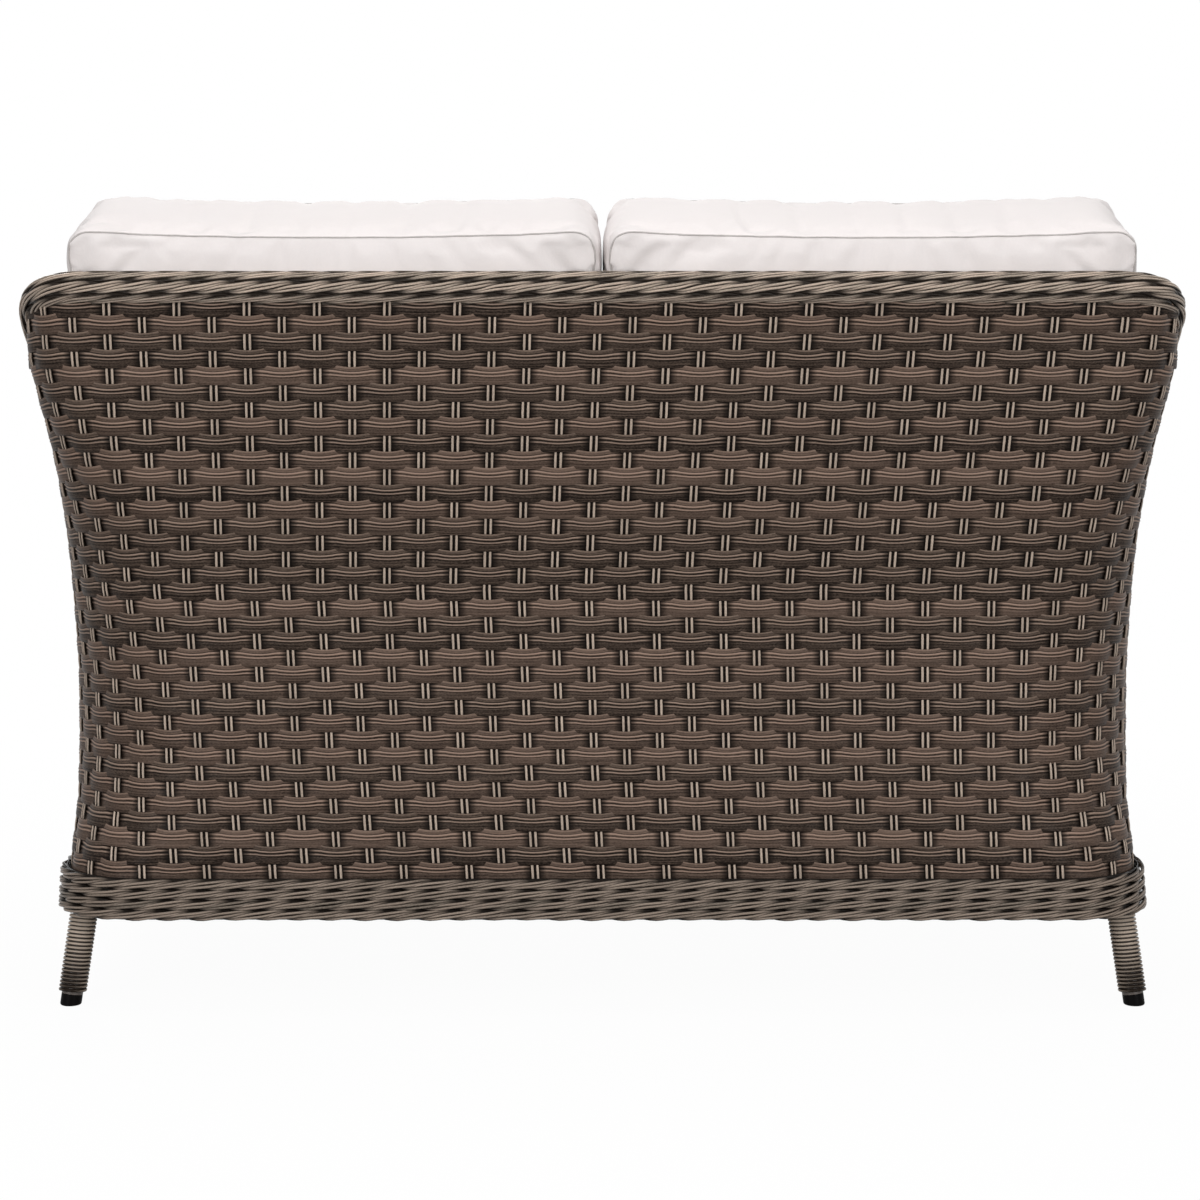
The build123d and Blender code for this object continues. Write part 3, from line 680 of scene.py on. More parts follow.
class WickerSizes(bpy.types.PropertyGroup):
    """Sizes and colours of the strips, the stakes and the braids."""

    strip_height: length_value("Strip height", 0.0204, "Width of a flat woven strip")
    strip_thickness: length_value("Strip thickness", 0.0015, "Thickness of a flat strip")
    rib_depth: length_value("Rib depth", 0.0005, "Height of the ribs of a flat strip")
    stake_diameter: length_value("Stake diameter", 0.0034, "Diameter of a stake's rods")
    swing: length_value("Swing", 0.00185, "How far a strip swings in and out at the stakes")
    stake_spacing: length_value("Stake spacing", 0.0061, "Between the two rods of a stake")
    rod_diameter: length_value("Rod diameter", 0.0037, "Diameter of a braided rod")
    border_rod_diameter: length_value("Border rod diameter", 0.0038, "Diameter of a border's rod")
    braid_twist: length_value("Braid twist", 0.114, "Length of one turn of a braid")
    strip_light: colour_value("Light strip", (0.325, 0.234, 0.182), "Lighter colour of the strips")
    strip_dark: colour_value("Dark strip", (0.0070, 0.0042, 0.0030), "Darker colour of the strips")
    rod_light: colour_value("Light rod", (0.66, 0.545, 0.445), "Lighter colour of round rods")
    rod_dark: colour_value("Dark rod", (0.024, 0.016, 0.011), "Darker colour of round rods")


class CushionSizes(bpy.types.PropertyGroup):
    """Sizes and colours of the cushions."""

    voxel: length_value("Cloth grid", 0.007, "Grid of the simulated cloth")
    pressure: number_value("Pressure", 4.0, "Pressure inside a cushion")
    swell: length_value("Most swell", 0.022, "How far the cloth may move")
    seam_radius: length_value("Seam radius", 0.0011, "Radius of the rolled seam")
    fabric: colour_value("Fabric", (0.770, 0.722, 0.711), "Colour of the cushion cloth")
    # Painted shade in the fold of a seam, given to the tube that stands for the seam
    seam_shade: colour_value("Seam", (0.30, 0.28, 0.27), "Colour in the fold of a seam")


class StageSizes(bpy.types.PropertyGroup):
    """Camera, lamps and floor."""

    distance: length_value("Distance", 3.326, "Camera's distance from the middle")
    height: length_value("Height", 0.7556, "Camera's height")
    pitch: FloatProperty(name="Pitch", description="How far the camera looks down",
                         default=math.radians(2.993), subtype="ANGLE")
    focal_pixels: number_value("Focal length", 2597.6, "In pixels of the picture")
    raised_pixels: number_value("Raised", 96.0, "How far the picture is shifted up")
    side_pixels: number_value("Sideways", 2.5, "How far the picture is shifted right")
    lamp_power: number_value("Lamp power", 62.0, "Power that the lamps share")
    sky: number_value("Sky", 0.42, "Strength of the even light")
    floor: colour_value("Floor", (0.15, 0.15, 0.15), "Colour that the floor casts back")


def over_under(phase):
    """How far out a strip swings, and how much of it lies in front, at a phase in half turns."""
    over = -np.cos(math.pi * phase)
    return np.sign(over) * np.abs(over) ** 0.8, 0.5 + 0.5 * over


def weave_strip(strands, rng, row, wicker):
    """Adds one row of the shell's weave, over and under the stakes."""
    z_row = FIRST_ROW + ROW_PITCH * row
    height = wicker.strip_height + LOW_ROW_SPREAD * max(0.0, 1 - row / LOW_ROWS)
    end = shell_end(z_row) + 0.004
    u_all = np.linspace(-SIDE_STAKES - 0.5, SIDE_STAKES + 0.5, 4001)
    u_low, u_high = np.interp([-end, end], stake_distance(u_all, z_row), u_all)
    u = np.linspace(u_low, u_high, int((u_high - u_low) * SAMPLES_PER_STAKE) + 1)
    over, front = over_under(u + row)
    wander = 0.0002 * np.sin(u * 0.35 + rng.uniform(0, 6.28)) + 0.00015 * np.sin(u * 1.3 + row)
    z = z_row + wander + 0.0005 - 0.0011 * np.maximum(over, 0)
    s = stake_distance(u, z)
    points, normals = outline(z, s)
    rise = 0.004
    above, _ = outline(z + rise, stake_distance(u, z + rise))
    half_width, _, radius = shell_at(z)
    corner = (np.abs(s) - half_width + radius - radius * math.pi / 4) / 0.10
    travel = travel_along(points)
    sides = squared((above - points) / rise * (1 + 0.08 * np.exp(-corner**2))[:, None], travel)
    outs = unit(np.cross(travel, sides))
    outs *= np.sign(np.sum(outs * normals, -1, keepdims=True))
    sides *= (1 + UNDER_SPREAD * (1 - front))[:, None]
    line = points + outs * (over * wicker.swing - WEAVE_THICKNESS / 2)[:, None]
    # The last two values paint shade on the strip where it passes behind the stakes
    strands.add(line, sides, outs, strip_profile(height, wicker.strip_thickness, wicker.rib_depth),
                rng.uniform(0, 1), front, 1 - front)


def stake_ahead(number, z):
    """How far a stake lies in front of the strips at heights z, from -1 to 1."""
    return np.cos(math.pi * (z - FIRST_ROW) / ROW_PITCH) * np.cos(math.pi * number)


def stake_rod(strands, line, sides, outs, ahead, tone, wicker):
    """Adds one rod of a stake, which gives way a little where it passes the strips."""
    # Painted shade on the rod where it passes behind the strips, from how far it lies ahead
    strands.add(line + outs * (STAKE_SWING * ahead)[:, None], sides, outs,
                round_profile(wicker.stake_diameter / 2), tone, 0.5 + 0.4 * ahead,
                0.5 - 0.4 * ahead, True)


def shell_stake(strands, rng, number, wicker):
    """Adds the two rods of one stake, from inside the border up to the rail."""
    z = np.arange(SHELL_BOTTOM + 0.004, RAIL_HEIGHT - 0.010, ROW_PITCH / 4)
    keep = np.array([abs(float(stake_distance(number, h))) <= shell_end(h) for h in z])
    z = z if keep.all() else z[:int(np.argmin(keep))]
    ahead = stake_ahead(number, z)
    rise = (z - SHELL_BOTTOM) / (RAIL_HEIGHT - SHELL_BOTTOM)
    bow = rng.uniform(-0.0012, 0.0012) * np.sin(rise * math.pi)
    for half in (-0.5, 0.5):
        points, normals = outline(z, stake_distance(number, z) + half * wicker.stake_spacing + bow)
        travel = travel_along(points)
        outs = unit(squared(normals, travel))
        stake_rod(strands, points - outs * (WEAVE_THICKNESS / 2), np.cross(travel, outs), outs,
                  ahead, rng.uniform(0.6, 1), wicker)


def deck_strip(strands, rng, ends, crossing, phase, sides, place, profile):
    """Adds one strip of the seat deck, over and under the strips that it crosses."""
    low, high = ends
    run = np.linspace(low, high, int((high - low) / crossing * DECK_SAMPLES) + 1)
    over = np.cos(math.pi * (run / crossing + phase))
    z = DECK_TOP - WEAVE_THICKNESS / 2 + over * DECK_SWING
    # The last two values paint shade on the strip where it passes under the crossing strips
    strands.add(joined(*place(run), z), sides, UP, profile, rng.uniform(0, 1), 0.5 + 0.5 * over,
                0.5 - 0.5 * over)


def deck_reach(limit, across, across_limit):
    """How far a strip of the deck reaches, by how near it is to a rounded corner."""
    past = max(0.0, across - (across_limit - DECK_CORNER))
    return limit - DECK_CORNER + math.sqrt(max(DECK_CORNER**2 - past**2, 0.0))


def wale_row(strands, rng, line, at, sides, outs, row_height, depth, twist, diameter):
    """Adds one row of three-strand waling along a line: a strand is two rods side by side.

    A strand takes most of its turn in front, slanting across the row, and dips quickly behind.
    """
    rod = diameter / 2
    reach, half_depth = row_height / 2 - rod * 0.95, depth / 2 - rod
    for strand in range(3):
        tone = rng.uniform(0.2, 1)
        start = rng.uniform(-0.15, 0.15)
        phase = -2 * math.pi * at / twist + 2 * math.pi * strand / 3 + start
        turn = phase - 0.14 * np.sin(2 * phase) - 0.25 * np.sin(phase)
        ahead = np.cos(turn)
        spread = rod * 2.04 * (0.45 + 0.55 * np.clip(ahead, 0, 1))
        forward = half_depth * ahead - rod * 0.125
        for half in (-0.5, 0.5):
            wander = 0.00035 * np.sin(at * rng.uniform(60, 110) + rng.uniform(0, 6.28))
            up = reach * np.sin(turn) + half * spread + wander
            # The front value paints shade on the strand where it dips behind the others
            strands.add(line + sides * up[:, None] + outs * forward[:, None], sides, outs,
                        round_profile(rod * rng.uniform(0.93, 1.03)),
                        min(1, max(0, tone + rng.uniform(-0.3, 0.3))),
                        np.clip(0.40 * (ahead + 0.45), 0, 1), None, True)


def braid(strands, rngs, line, run, sides, outs, radius, shift, wicker):
    """Adds rows of waling side by side round a tube, one for each random generator."""
    radius -= BRAID_DEPTH / 2
    for row, rng in enumerate(rngs):
        turn = 2 * math.pi * row / len(rngs)
        out = outs * math.cos(turn) + sides * math.sin(turn)
        side = sides * math.cos(turn) - outs * math.sin(turn)
        wale_row(strands, rng, line + out * radius, run + row * shift, side, out,
                 2 * math.pi * radius / len(rngs), BRAID_DEPTH, wicker.braid_twist,
                 wicker.rod_diameter)


class LOVESEAT_OT_weave(bpy.types.Operator):
    """Weave the shell: flat strips over and under pairs of round stakes"""

    bl_idname = "loveseat.weave"
    bl_label = "Weave the shell"

    def execute(self, context):
        wicker = context.scene.loveseat_wicker
        rng = np.random.default_rng(SEED)
        strip = strand_material("flat_wicker_strip", wicker.strip_light, wicker.strip_dark, 0.42,
                                0.06, 0.25, wicker.strip_height)
        rod = strand_material("round_wicker_rod", wicker.rod_light, wicker.rod_dark, 0.27, 0.08,
                              0.15)
        nodes = ("back_weave", "left_arm_weave", "right_arm_weave")
        for first in range(0, ROW_COUNT, ROWS_PER_PIECE):
            strands = Strands()
            for row in range(first, min(first + ROWS_PER_PIECE, ROW_COUNT)):
                weave_strip(strands, rng, row, wicker)
            strands.piece(f"shell_strips_{first // ROWS_PER_PIECE + 1}", strip, "flat_wicker",
                          nodes)
        for name, numbers in (("left", range(MIDDLE_STAKES + 1, SIDE_STAKES + 1)),
                              ("middle", range(-MIDDLE_STAKES, MIDDLE_STAKES + 1)),
                              ("right", range(-SIDE_STAKES, -MIDDLE_STAKES))):
            strands = Strands()
            for number in numbers:
                shell_stake(strands, rng, number, wicker)
            strands.piece(f"{name}_shell_stakes", rod, "flat_wicker", nodes)
        return {"FINISHED"}


class LOVESEAT_OT_apron(bpy.types.Operator):
    """Weave the front apron under the seat"""

    bl_idname = "loveseat.apron"
    bl_label = "Weave the apron"

    def execute(self, context):
        wicker = context.scene.loveseat_wicker
        rng = np.random.default_rng(SEED + 1)
        half = float(rail_x_at(FRONT_BRAID_HEIGHT)) - 0.010
        pitch = STAKE_PITCHES[0]
        middle_y = APRON_Y + WEAVE_THICKNESS / 2
        profile = strip_profile(wicker.strip_height, wicker.strip_thickness, wicker.rib_depth)
        strips, stakes = Strands(), Strands()
        u = np.linspace(-half / pitch, half / pitch, int(2 * half / pitch * SAMPLES_PER_STAKE))
        for row in range(APRON_ROWS):
            over, front = over_under(u + row)
            line = joined(u * pitch, middle_y - over * wicker.swing,
                          FIRST_ROW + ROW_PITCH * row - 0.0006 * over)
            # The last two values paint shade on the strip where it passes behind the stakes
            strips.add(line, np.outer(1 + UNDER_SPREAD * (1 - front), UP), FORWARD, profile,
                       rng.uniform(0, 1), front, 1 - front)
        z = np.arange(SHELL_BOTTOM + 0.004, FRONT_BRAID_HEIGHT, ROW_PITCH / 4)
        for number in range(-int(half / pitch), int(half / pitch) + 1):
            ahead = stake_ahead(number, z)
            for side in (-0.5, 0.5):
                line = joined(number * pitch + side * wicker.stake_spacing, middle_y, z)
                stake_rod(stakes, line, LEFT, FORWARD, ahead, rng.uniform(0.5, 1), wicker)
        for strands, name, material in ((strips, "apron_strips", "flat_wicker_strip"),
                                        (stakes, "apron_stakes", "round_wicker_rod")):
            strands.piece(name, bpy.data.materials[material], "flat_wicker", ("front_weave",))
        return {"FINISHED"}


class LOVESEAT_OT_deck(bpy.types.Operator):
    """Weave the seat deck under the seat cushions"""

    bl_idname = "loveseat.deck"
    bl_label = "Weave the seat deck"

    def execute(self, context):
        wicker = context.scene.loveseat_wicker
        rng = np.random.default_rng(SEED + 2)
        profile = strip_profile(wicker.strip_height, DECK_STRIP_THICKNESS, DECK_RIB_DEPTH)
        strips, cross = Strands(), Strands()
        for row in range(round((DECK_REAR - DECK_FRONT) / ROW_PITCH)):
            y = DECK_FRONT + ROW_PITCH * (row + 0.5)
            half = deck_reach(DECK_HALF_WIDTH, y, DECK_REAR)
            deck_strip(strips, rng, (-half, half), DECK_COLUMN_PITCH, row, -FORWARD,
                       lambda run: (run, y), profile)
        columns = int(DECK_HALF_WIDTH / DECK_COLUMN_PITCH)
        for column in range(-columns, columns + 1):
            x = column * DECK_COLUMN_PITCH
            end = deck_reach(DECK_REAR, abs(x), DECK_HALF_WIDTH)
            deck_strip(cross, rng, (DECK_FRONT, end), ROW_PITCH,
                       column + 0.5 - DECK_FRONT / ROW_PITCH, LEFT, lambda run: (x, run), profile)
        for strands, name in ((strips, "seat_deck_strips"), (cross, "seat_deck_cross_strips")):
            strands.piece(name, bpy.data.materials["flat_wicker_strip"], "flat_wicker",
                          ("seat_deck_weave",))
        return {"FINISHED"}


class LOVESEAT_OT_rail(bpy.types.Operator):
    """Braid the rail along the back and the arms, and the front of the seat"""

    bl_idname = "loveseat.rail"
    bl_label = "Braid the rails"

    def execute(self, context):
        wicker = context.scene.loveseat_wicker
        rng = np.random.default_rng(SEED + 3)
        rod = bpy.data.materials["round_wicker_rod"]
        left, at = resample(RAIL_POINTS, RAIL_LENGTHS, ROD_STEP)
        line, sides, outs = (
            np.concatenate([half[::-1], (half * (-1.0, 1.0, 1.0))[1:]])
            for half in (left, *carried_frames(left, -FORWARD)))
        run = np.concatenate([-at[::-1], at[1:]])
        seeds = rng.integers(0, 10**6, BRAID_ROWS)
        for name, mask, node in (
                ("left_arm_braid", run <= -RAIL_CORNER_MARK, "left_arm_rail_braid"),
                ("back_braid", np.abs(run) <= RAIL_CORNER_MARK + ROD_STEP, "back_rail_braid"),
                ("right_arm_braid", run >= RAIL_CORNER_MARK, "right_arm_rail_braid")):
            strands = Strands()
            braid(strands, [np.random.default_rng(int(seed)) for seed in seeds], line[mask],
                  run[mask], sides[mask], outs[mask], BRAID_RADIUS, wicker.braid_twist / 3 * 1.31,
                  wicker)
            strands.piece(name, rod, "braid_wicker", (node,))
        strands = Strands()
        half = float(rail_x_at(FRONT_BRAID_HEIGHT)) - 0.012
        x = np.linspace(-half, half, int(2 * half / ROD_STEP))
        braid(strands, [rng] * FRONT_BRAID_ROWS, joined(x, POST_Y, FRONT_BRAID_HEIGHT), x, UP,
              FORWARD, FRONT_BRAID_RADIUS, 0.05, wicker)
        strands.piece("seat_front_braid_rods", rod, "braid_wicker", ("seat_front_braid",))
        return {"FINISHED"}


def border_line(z, outset):
    """Closed line round the foot of the shell at an outset, and its outward directions."""
    half_width, rear, radius = (float(value) for value in shell_at(z))
    x, y, r = half_width + outset, rear + outset, radius + outset
    front, front_radius = APRON_Y - outset, BORDER_FRONT_RADIUS - BORDER_PROUD + outset
    corners = (
        (x - r, y - r, r, 90.0), (-(x - r), y - r, r, 180.0),
        (-(x - front_radius), front + front_radius, front_radius, 270.0),
        (x - front_radius, front + front_radius, front_radius, 360.0),
    )
    points = []
    for centre_x, centre_y, bend, end in corners:
        for angle in np.radians(np.linspace(end - 90.0, end, 24)):
            points.append((centre_x + bend * math.cos(angle), centre_y + bend * math.sin(angle), z))
    points = np.array(points + points[:1])
    line, at = resample(points, run_along(points), ROD_STEP)
    travel = travel_along(line)
    travel[0] = travel[-1] = unit(travel[0] + travel[-1])
    return line, at, np.cross(travel, UP)


class LOVESEAT_OT_border(bpy.types.Operator):
    """Wale the border round the foot of the shell"""

    bl_idname = "loveseat.border"
    bl_label = "Wale the border"

    def execute(self, context):
        wicker = context.scene.loveseat_wicker
        rng = np.random.default_rng(SEED + 4)
        # A darker copy of the rod colours: painted shade, as the low border gets less light from
        # above
        rod = strand_material("border_rod", scaled(wicker.rod_light, 0.60),
                              scaled(wicker.rod_dark, 0.4), 0.30, 0.05, 0.2)
        nodes = ("rear_border", "front_border", "left_side_border", "right_side_border")
        row_height = BORDER_HEIGHT / BORDER_ROWS
        # A dark band behind the rods, all in painted shade, which fills the gaps between them
        shade_band = np.array([[-0.53, -0.04], [0.53, -0.04], [0.53, 0.04], [-0.53, 0.04]]) * row_height
        for row in range(BORDER_ROWS):
            strands = Strands()
            line, at, outs = border_line(SHELL_BOTTOM + row_height * (row + 0.5), BORDER_PROUD / 2)
            turns = round(at[-1] / wicker.braid_twist)
            wound = -at * turns * wicker.braid_twist / at[-1] + row * 0.047
            wale_row(strands, rng, line, wound, UP, outs, row_height, BORDER_PROUD,
                     wicker.braid_twist, wicker.border_rod_diameter)
            # Tone 0 and front 0 paint the band fully in shade
            strands.add(line - outs * 0.0030, UP, outs, shade_band, 0.0, 0.0)
            strands.piece(f"border_wale_{row + 1}", rod, "braid_wicker", nodes)
        return {"FINISHED"}


def seam_loops(mesh):
    """Chains of points along the sharp edges of a cushion's form."""
    work = bmesh.new()
    work.from_mesh(mesh)
    bmesh.ops.remove_doubles(work, verts=work.verts, dist=1e-5)
    bmesh.ops.dissolve_degenerate(work, edges=work.edges, dist=1e-6)
    sharp = dict.fromkeys(
        edge for edge in work.edges
        if len(edge.link_faces) == 2 and edge.calc_face_angle(0.0) > math.radians(50))
    chains = []
    while sharp:
        chain = list(sharp.popitem()[0].verts)
        for _ in range(2):
            while True:
                tip = chain[-1]
                heading = (tip.co - chain[-2].co).normalized()
                turns = {edge: (edge.other_vert(tip).co - tip.co).normalized().dot(heading)
                         for edge in tip.link_edges if edge in sharp}
                best = max(turns, key=turns.get, default=None)
                if best is None or turns[best] < 0.2:
                    break
                del sharp[best]
                chain.append(best.other_vert(tip))
            chain.reverse()
        chains.append(np.array([vertex.co[:] for vertex in chain]))
    work.free()
    return [chain for chain in chains if run_along(chain)[-1] > 0.05]


def applied(piece):
    """A piece's mesh with its modifiers applied, which leave the piece."""
    graph = bpy.context.evaluated_depsgraph_get()
    mesh = bpy.data.meshes.new_from_object(piece.evaluated_get(graph))
    piece.modifiers.clear()
    return mesh


def voxel_copy(mesh, name, voxel):
    """A copy of a mesh on an even grid of quads."""
    piece = bpy.data.objects.new(name, mesh.copy())
    bpy.context.scene.collection.objects.link(piece)
    modifier = piece.modifiers.new("grid", "REMESH")
    modifier.mode = "VOXEL"
    modifier.voxel_size = voxel
    piece.data = applied(piece)
    piece.data.name = name
    return piece


def vertex_array(mesh, what="co"):
    """A mesh's points or normals as an array."""
    values = np.empty(len(mesh.vertices) * 3, np.float32)
    mesh.vertices.foreach_get(what, values)
    return values.reshape(-1, 3).astype(float)


def smooth_noise(points, scale, seed):
    """Soft noise between about -1 and 1, as a sum of waves in fixed random directions."""
    rng = np.random.default_rng(seed)
    total = np.zeros(len(points))
    for _ in range(9):
        direction = rng.normal(size=3)
        direction *= rng.uniform(0.6, 1.5) / np.linalg.norm(direction)
        total += np.sin(points @ (direction * scale) + rng.uniform(0, 6.28))
    return total / 3.2


def blow_up(piece, pinned, pressure):
    """Runs the cloth with its seams held, and returns how it moved."""
    rest = vertex_array(piece.data)
    group = piece.vertex_groups.new(name="seams")
    for index, weight in enumerate(pinned):
        if weight > 0.02:
            group.add([index], float(weight), "REPLACE")
    cloth = piece.modifiers.new("swell", "CLOTH")
    for name, value in CLOTH.items():
        setattr(cloth.settings, name, value)
    cloth.settings.uniform_pressure_force = pressure
    cloth.settings.effector_weights.gravity = 0.0
    cloth.collision_settings.use_collision = False
    scene = bpy.context.scene
    for number in range(1, CLOTH_FRAMES + 1):
        scene.frame_set(number)
    swollen = applied(piece)
    moved = vertex_array(swollen) - rest
    bpy.data.meshes.remove(swollen)
    scene.frame_set(1)
    return moved


class LOVESEAT_OT_cushions(bpy.types.Operator):
    """Sew and fill the seat cushions and the back cushions"""

    bl_idname = "loveseat.cushions"
    bl_label = "Make the cushions"

    def execute(self, context):
        cushion = context.scene.loveseat_cushion
        fabric = fabric_material("cushion_cloth", cushion.fabric)
        # Seams are a thin tube in a dark colour, which paints the shade in their folds
        seam = moulded_plastic("seam_fold", cushion.seam_shade)
        for kind in ("seat", "back"):
            for side in SIDES:
                name = f"{side}_{kind}_cushion"
                chains = seam_loops(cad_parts[f"{name}_core"].data)
                piece = self.padding(name, kind, cushion, chains)
                finish_piece(piece, fabric, (f"{name}_cover", f"{name}_core"),
                             name)
                strands = self.seams(piece.data, chains, cushion.seam_radius)
                strands.piece(f"{name}_seams", seam, "cushion_fabric", (), name)
        return {"FINISHED"}

    def padding(self, name, kind, cushion, chains):
        """One cushion as swollen cloth, with a soft rumple and puckers along its seams."""
        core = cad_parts[f"{name}_core"]
        piece = voxel_copy(core.data, f"{name}_padding", cushion.voxel * (1))
        points = vertex_array(piece.data)
        stitches = [stitch for chain in chains for a, b in zip(chain, chain[1:]) for stitch in
                    np.linspace(a, b, max(2, int(np.linalg.norm(b - a) / 0.004)))]
        tree = KDTree(len(stitches))
        for index, stitch in enumerate(stitches):
            tree.insert(stitch, index)
        tree.balance()
        reach = np.array([tree.find(point)[2] for point in points])
        moved = np.zeros_like(points)
        moved = blow_up(piece, np.clip(1.6 - reach / 0.006, 0, 1), cushion.pressure)
        length = np.linalg.norm(moved, axis=1, keepdims=True)
        cap = cushion.swell * (0.45 if kind == "back" else 0.35)
        moved *= np.tanh(length / cap) * cap / np.maximum(length, 1e-9)
        seed = sum(map(ord, name))
        stretch = (42.0, 9.0, 9.0) if kind == "back" else (16.0, 16.0, 9.0)
        rumple = smooth_noise(points * stretch, 1.0, seed) * 0.0013 * np.clip(reach / 0.05, 0, 1)
        near_seam = np.exp(-((reach - 0.014) / 0.011) ** 2)
        pucker = smooth_noise(points, 330.0, seed + 1) * 0.0005 * near_seam
        shaped = points + moved + vertex_array(piece.data, "normal") * (rumple + pucker)[:, None]
        if kind == "seat":
            shaped[:, 2] = np.maximum(shaped[:, 2], points[:, 2].min() - 0.0005)
        piece.data.vertices.foreach_set("co", shaped.astype(np.float32).ravel())
        modifier = piece.modifiers.new("smooth", "SUBSURF")
        modifier.levels = modifier.render_levels = 1
        piece.data = applied(piece)
        piece.data.shade_smooth()
        return piece

    def seams(self, cloth, chains, radius):
        """Rolled seams that lie on the swollen cloth."""
        surface = BVHTree.FromPolygons([vertex.co[:] for vertex in cloth.vertices],
                                       [polygon.vertices[:] for polygon in cloth.polygons])
        strands = Strands()
        for chain in chains:
            line, _ = resample(chain, run_along(chain), 0.005)
            found = [surface.find_nearest(Vector(point)) for point in line]
            line, outs = (np.array([hit[part][:] for hit in found]) for part in (0, 1))
            for _ in range(2):
                for values in (line, outs):
                    values[1:-1] = (values[:-2] + 2 * values[1:-1] + values[2:]) / 4
            travel = travel_along(line)
            outs = unit(squared(outs, travel))
            strands.add(line + outs * 0.0002, np.cross(travel, outs), outs,
                        round_profile(radius, 6), 0.5)
        return strands


class LOVESEAT_OT_frame_finish(bpy.types.Operator):
    """Finish the tubes, the leg windings, the glides and the zips that the frame brings"""

    bl_idname = "loveseat.frame_finish"
    bl_label = "Finish the frame"

    def execute(self, context):
        wicker = context.scene.loveseat_wicker
        finishes = {
            "glide": moulded_plastic("glide_plastic", (0.0022, 0.0020, 0.0020), 0.03),
            "zip": moulded_plastic("zip_tape", (0.62, 0.59, 0.56)),
        }
        metal = coated_metal("coated_tube", (0.055, 0.042, 0.034))
        for name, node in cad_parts.items():
            finish = next((finishes[word] for word in finishes if word in name), metal)
            if name.endswith("_winding"):
                finish = winding_material(f"{name}_rod", wicker.rod_light,
                                          scaled(wicker.rod_dark, 0.6), vertex_array(node.data))
            for holder in node.material_slots:
                holder.material = finish
            if not node.material_slots:
                node.data.materials.append(finish)
        return {"FINISHED"}


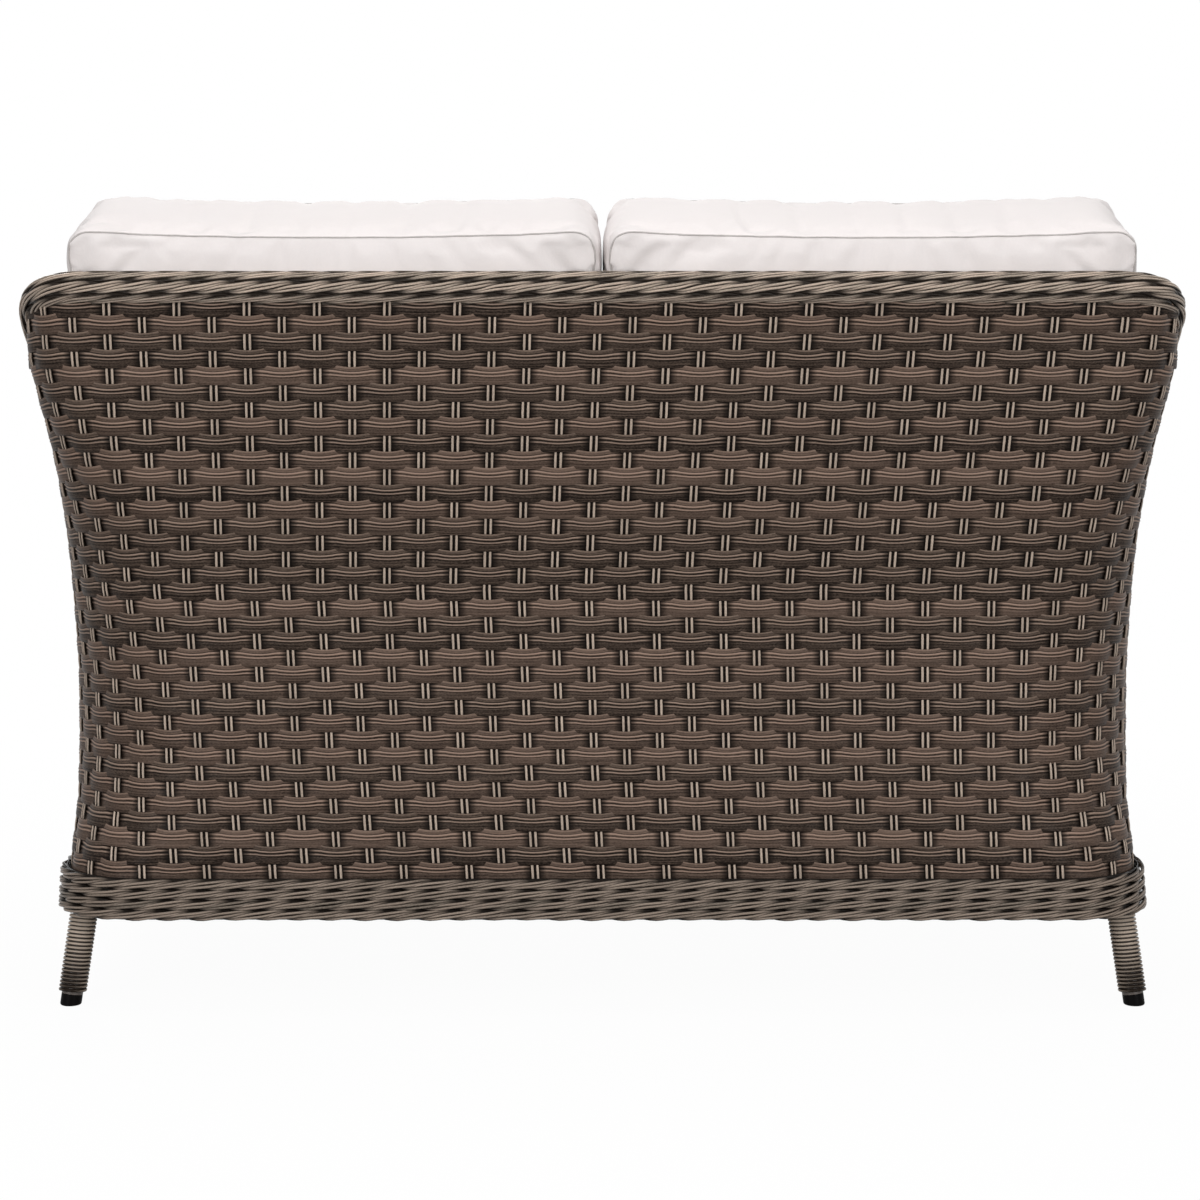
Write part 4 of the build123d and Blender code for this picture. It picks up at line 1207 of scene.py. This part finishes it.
class LOVESEAT_OT_stage(bpy.types.Operator):
    """Set up the floor, the lamps, the white surround and the camera"""

    bl_idname = "loveseat.stage"
    bl_label = "Set the stage"

    def execute(self, context):
        stage, scene = context.scene.loveseat_stage, context.scene
        scene.view_settings.view_transform = "Standard"
        self.make_floor(scene, stage)
        self.make_world(scene, stage)
        for name, place, aim, size, share in LAMPS:
            lamp = bpy.data.lights.new(name, "AREA")
            lamp.shape, lamp.size, lamp.energy = "SQUARE", size, stage.lamp_power * share
            holder = bpy.data.objects.new(name, lamp)
            holder.location = place
            direction = Vector(aim) - Vector(place)
            holder.rotation_euler = direction.to_track_quat("-Z", "Y").to_euler()
            scene.collection.objects.link(holder)
        lens = bpy.data.cameras.new("camera")
        lens.sensor_width = SENSOR_WIDTH
        lens.lens = stage.focal_pixels / PICTURE_WIDTH * SENSOR_WIDTH
        lens.shift_x = -stage.side_pixels / PICTURE_WIDTH
        lens.shift_y = -stage.raised_pixels / PICTURE_WIDTH
        camera = bpy.data.objects.new("camera", lens)
        camera.location = (0.0, stage.distance, stage.height)
        camera.rotation_euler = (math.pi / 2 - stage.pitch, 0.0, math.pi)
        scene.collection.objects.link(camera)
        scene.camera = camera
        return {"FINISHED"}

    def make_floor(self, scene, stage):
        """Pale floor that shows white, but keeps a faint shadow round the object."""
        shader = Shader(bpy.data.materials.new("pale_floor"))
        plain = shader.node("ShaderNodeBsdfDiffuse", {}, {"Color": rgba(stage.floor)})
        shaded = shader.node("ShaderNodeBsdfDiffuse", {}, {"Color": (0.85, 0.85, 0.85, 1.0)})
        glow = shader.node("ShaderNodeEmission", {}, {"Color": WHITE, "Strength": 1.0})
        away = shader.vector("LENGTH", shader.place(), output="Value")
        far = shader.node("ShaderNodeMapRange", {}, {
            "Value": away, "From Min": 0.7, "From Max": 2.2, "To Min": 0.965, "To Max": 1.0})
        ground = shader.mix_shaders(far, shaded, glow)
        shader.node("ShaderNodeOutputMaterial", {}, {
            "Surface": shader.mix_shaders(shader.seen(), plain, ground)}, None)
        mesh = bpy.data.meshes.new("floor")
        reach = 30.0
        mesh.from_pydata([(-reach, -reach, 0), (reach, -reach, 0), (reach, reach, 0),
                          (-reach, reach, 0)], [], [(0, 1, 2, 3)])
        mesh.materials.append(shader.owner)
        floor = bpy.data.objects.new("floor", mesh)
        scene.collection.objects.link(floor)

    def make_world(self, scene, stage):
        """White to the camera and in reflections, and an even soft light for everything else."""
        scene.world = bpy.data.worlds.new("surround")
        shader = Shader(scene.world)
        even, plain = (
            shader.node("ShaderNodeBackground", {}, {"Color": WHITE, "Strength": strength})
            for strength in (stage.sky, 1.0))
        shader.node("ShaderNodeOutputWorld", {}, {
            "Surface": shader.mix_shaders(shader.seen(), even, plain)}, None)


OPERATORS = (
    LOVESEAT_OT_stage, LOVESEAT_OT_frame_finish, LOVESEAT_OT_weave, LOVESEAT_OT_apron,
    LOVESEAT_OT_deck, LOVESEAT_OT_rail, LOVESEAT_OT_border, LOVESEAT_OT_cushions,
)
GROUPS = (
    ("loveseat_wicker", WickerSizes), ("loveseat_cushion", CushionSizes),
    ("loveseat_stage", StageSizes),
)


class LOVESEAT_PT_panel(bpy.types.Panel):
    """Lists the sizes and the steps of the loveseat"""

    bl_idname = "LOVESEAT_PT_panel"
    bl_label = "Loveseat"
    bl_space_type = "VIEW_3D"
    bl_region_type = "UI"
    bl_category = "Loveseat"

    def draw(self, context):
        for name, group in GROUPS:
            box = self.layout.box()
            for prop in group.__annotations__:
                box.prop(getattr(context.scene, name), prop)
        for operator in OPERATORS:
            self.layout.operator(operator.bl_idname)


def register():
    for name, group in GROUPS:
        bpy.utils.register_class(group)
        setattr(bpy.types.Scene, name, PointerProperty(type=group))
    for operator in OPERATORS:
        bpy.utils.register_class(operator)
    bpy.utils.register_class(LOVESEAT_PT_panel)


def unregister():
    bpy.utils.unregister_class(LOVESEAT_PT_panel)
    for operator in reversed(OPERATORS):
        bpy.utils.unregister_class(operator)
    for name, group in reversed(GROUPS):
        delattr(bpy.types.Scene, name)
        bpy.utils.unregister_class(group)


def main():
    """Makes every piece in order."""
    register()
    for operator in OPERATORS:
        family, step = operator.bl_idname.split(".")
        getattr(getattr(bpy.ops, family), step)()


if __name__ == "__main__":
    main()
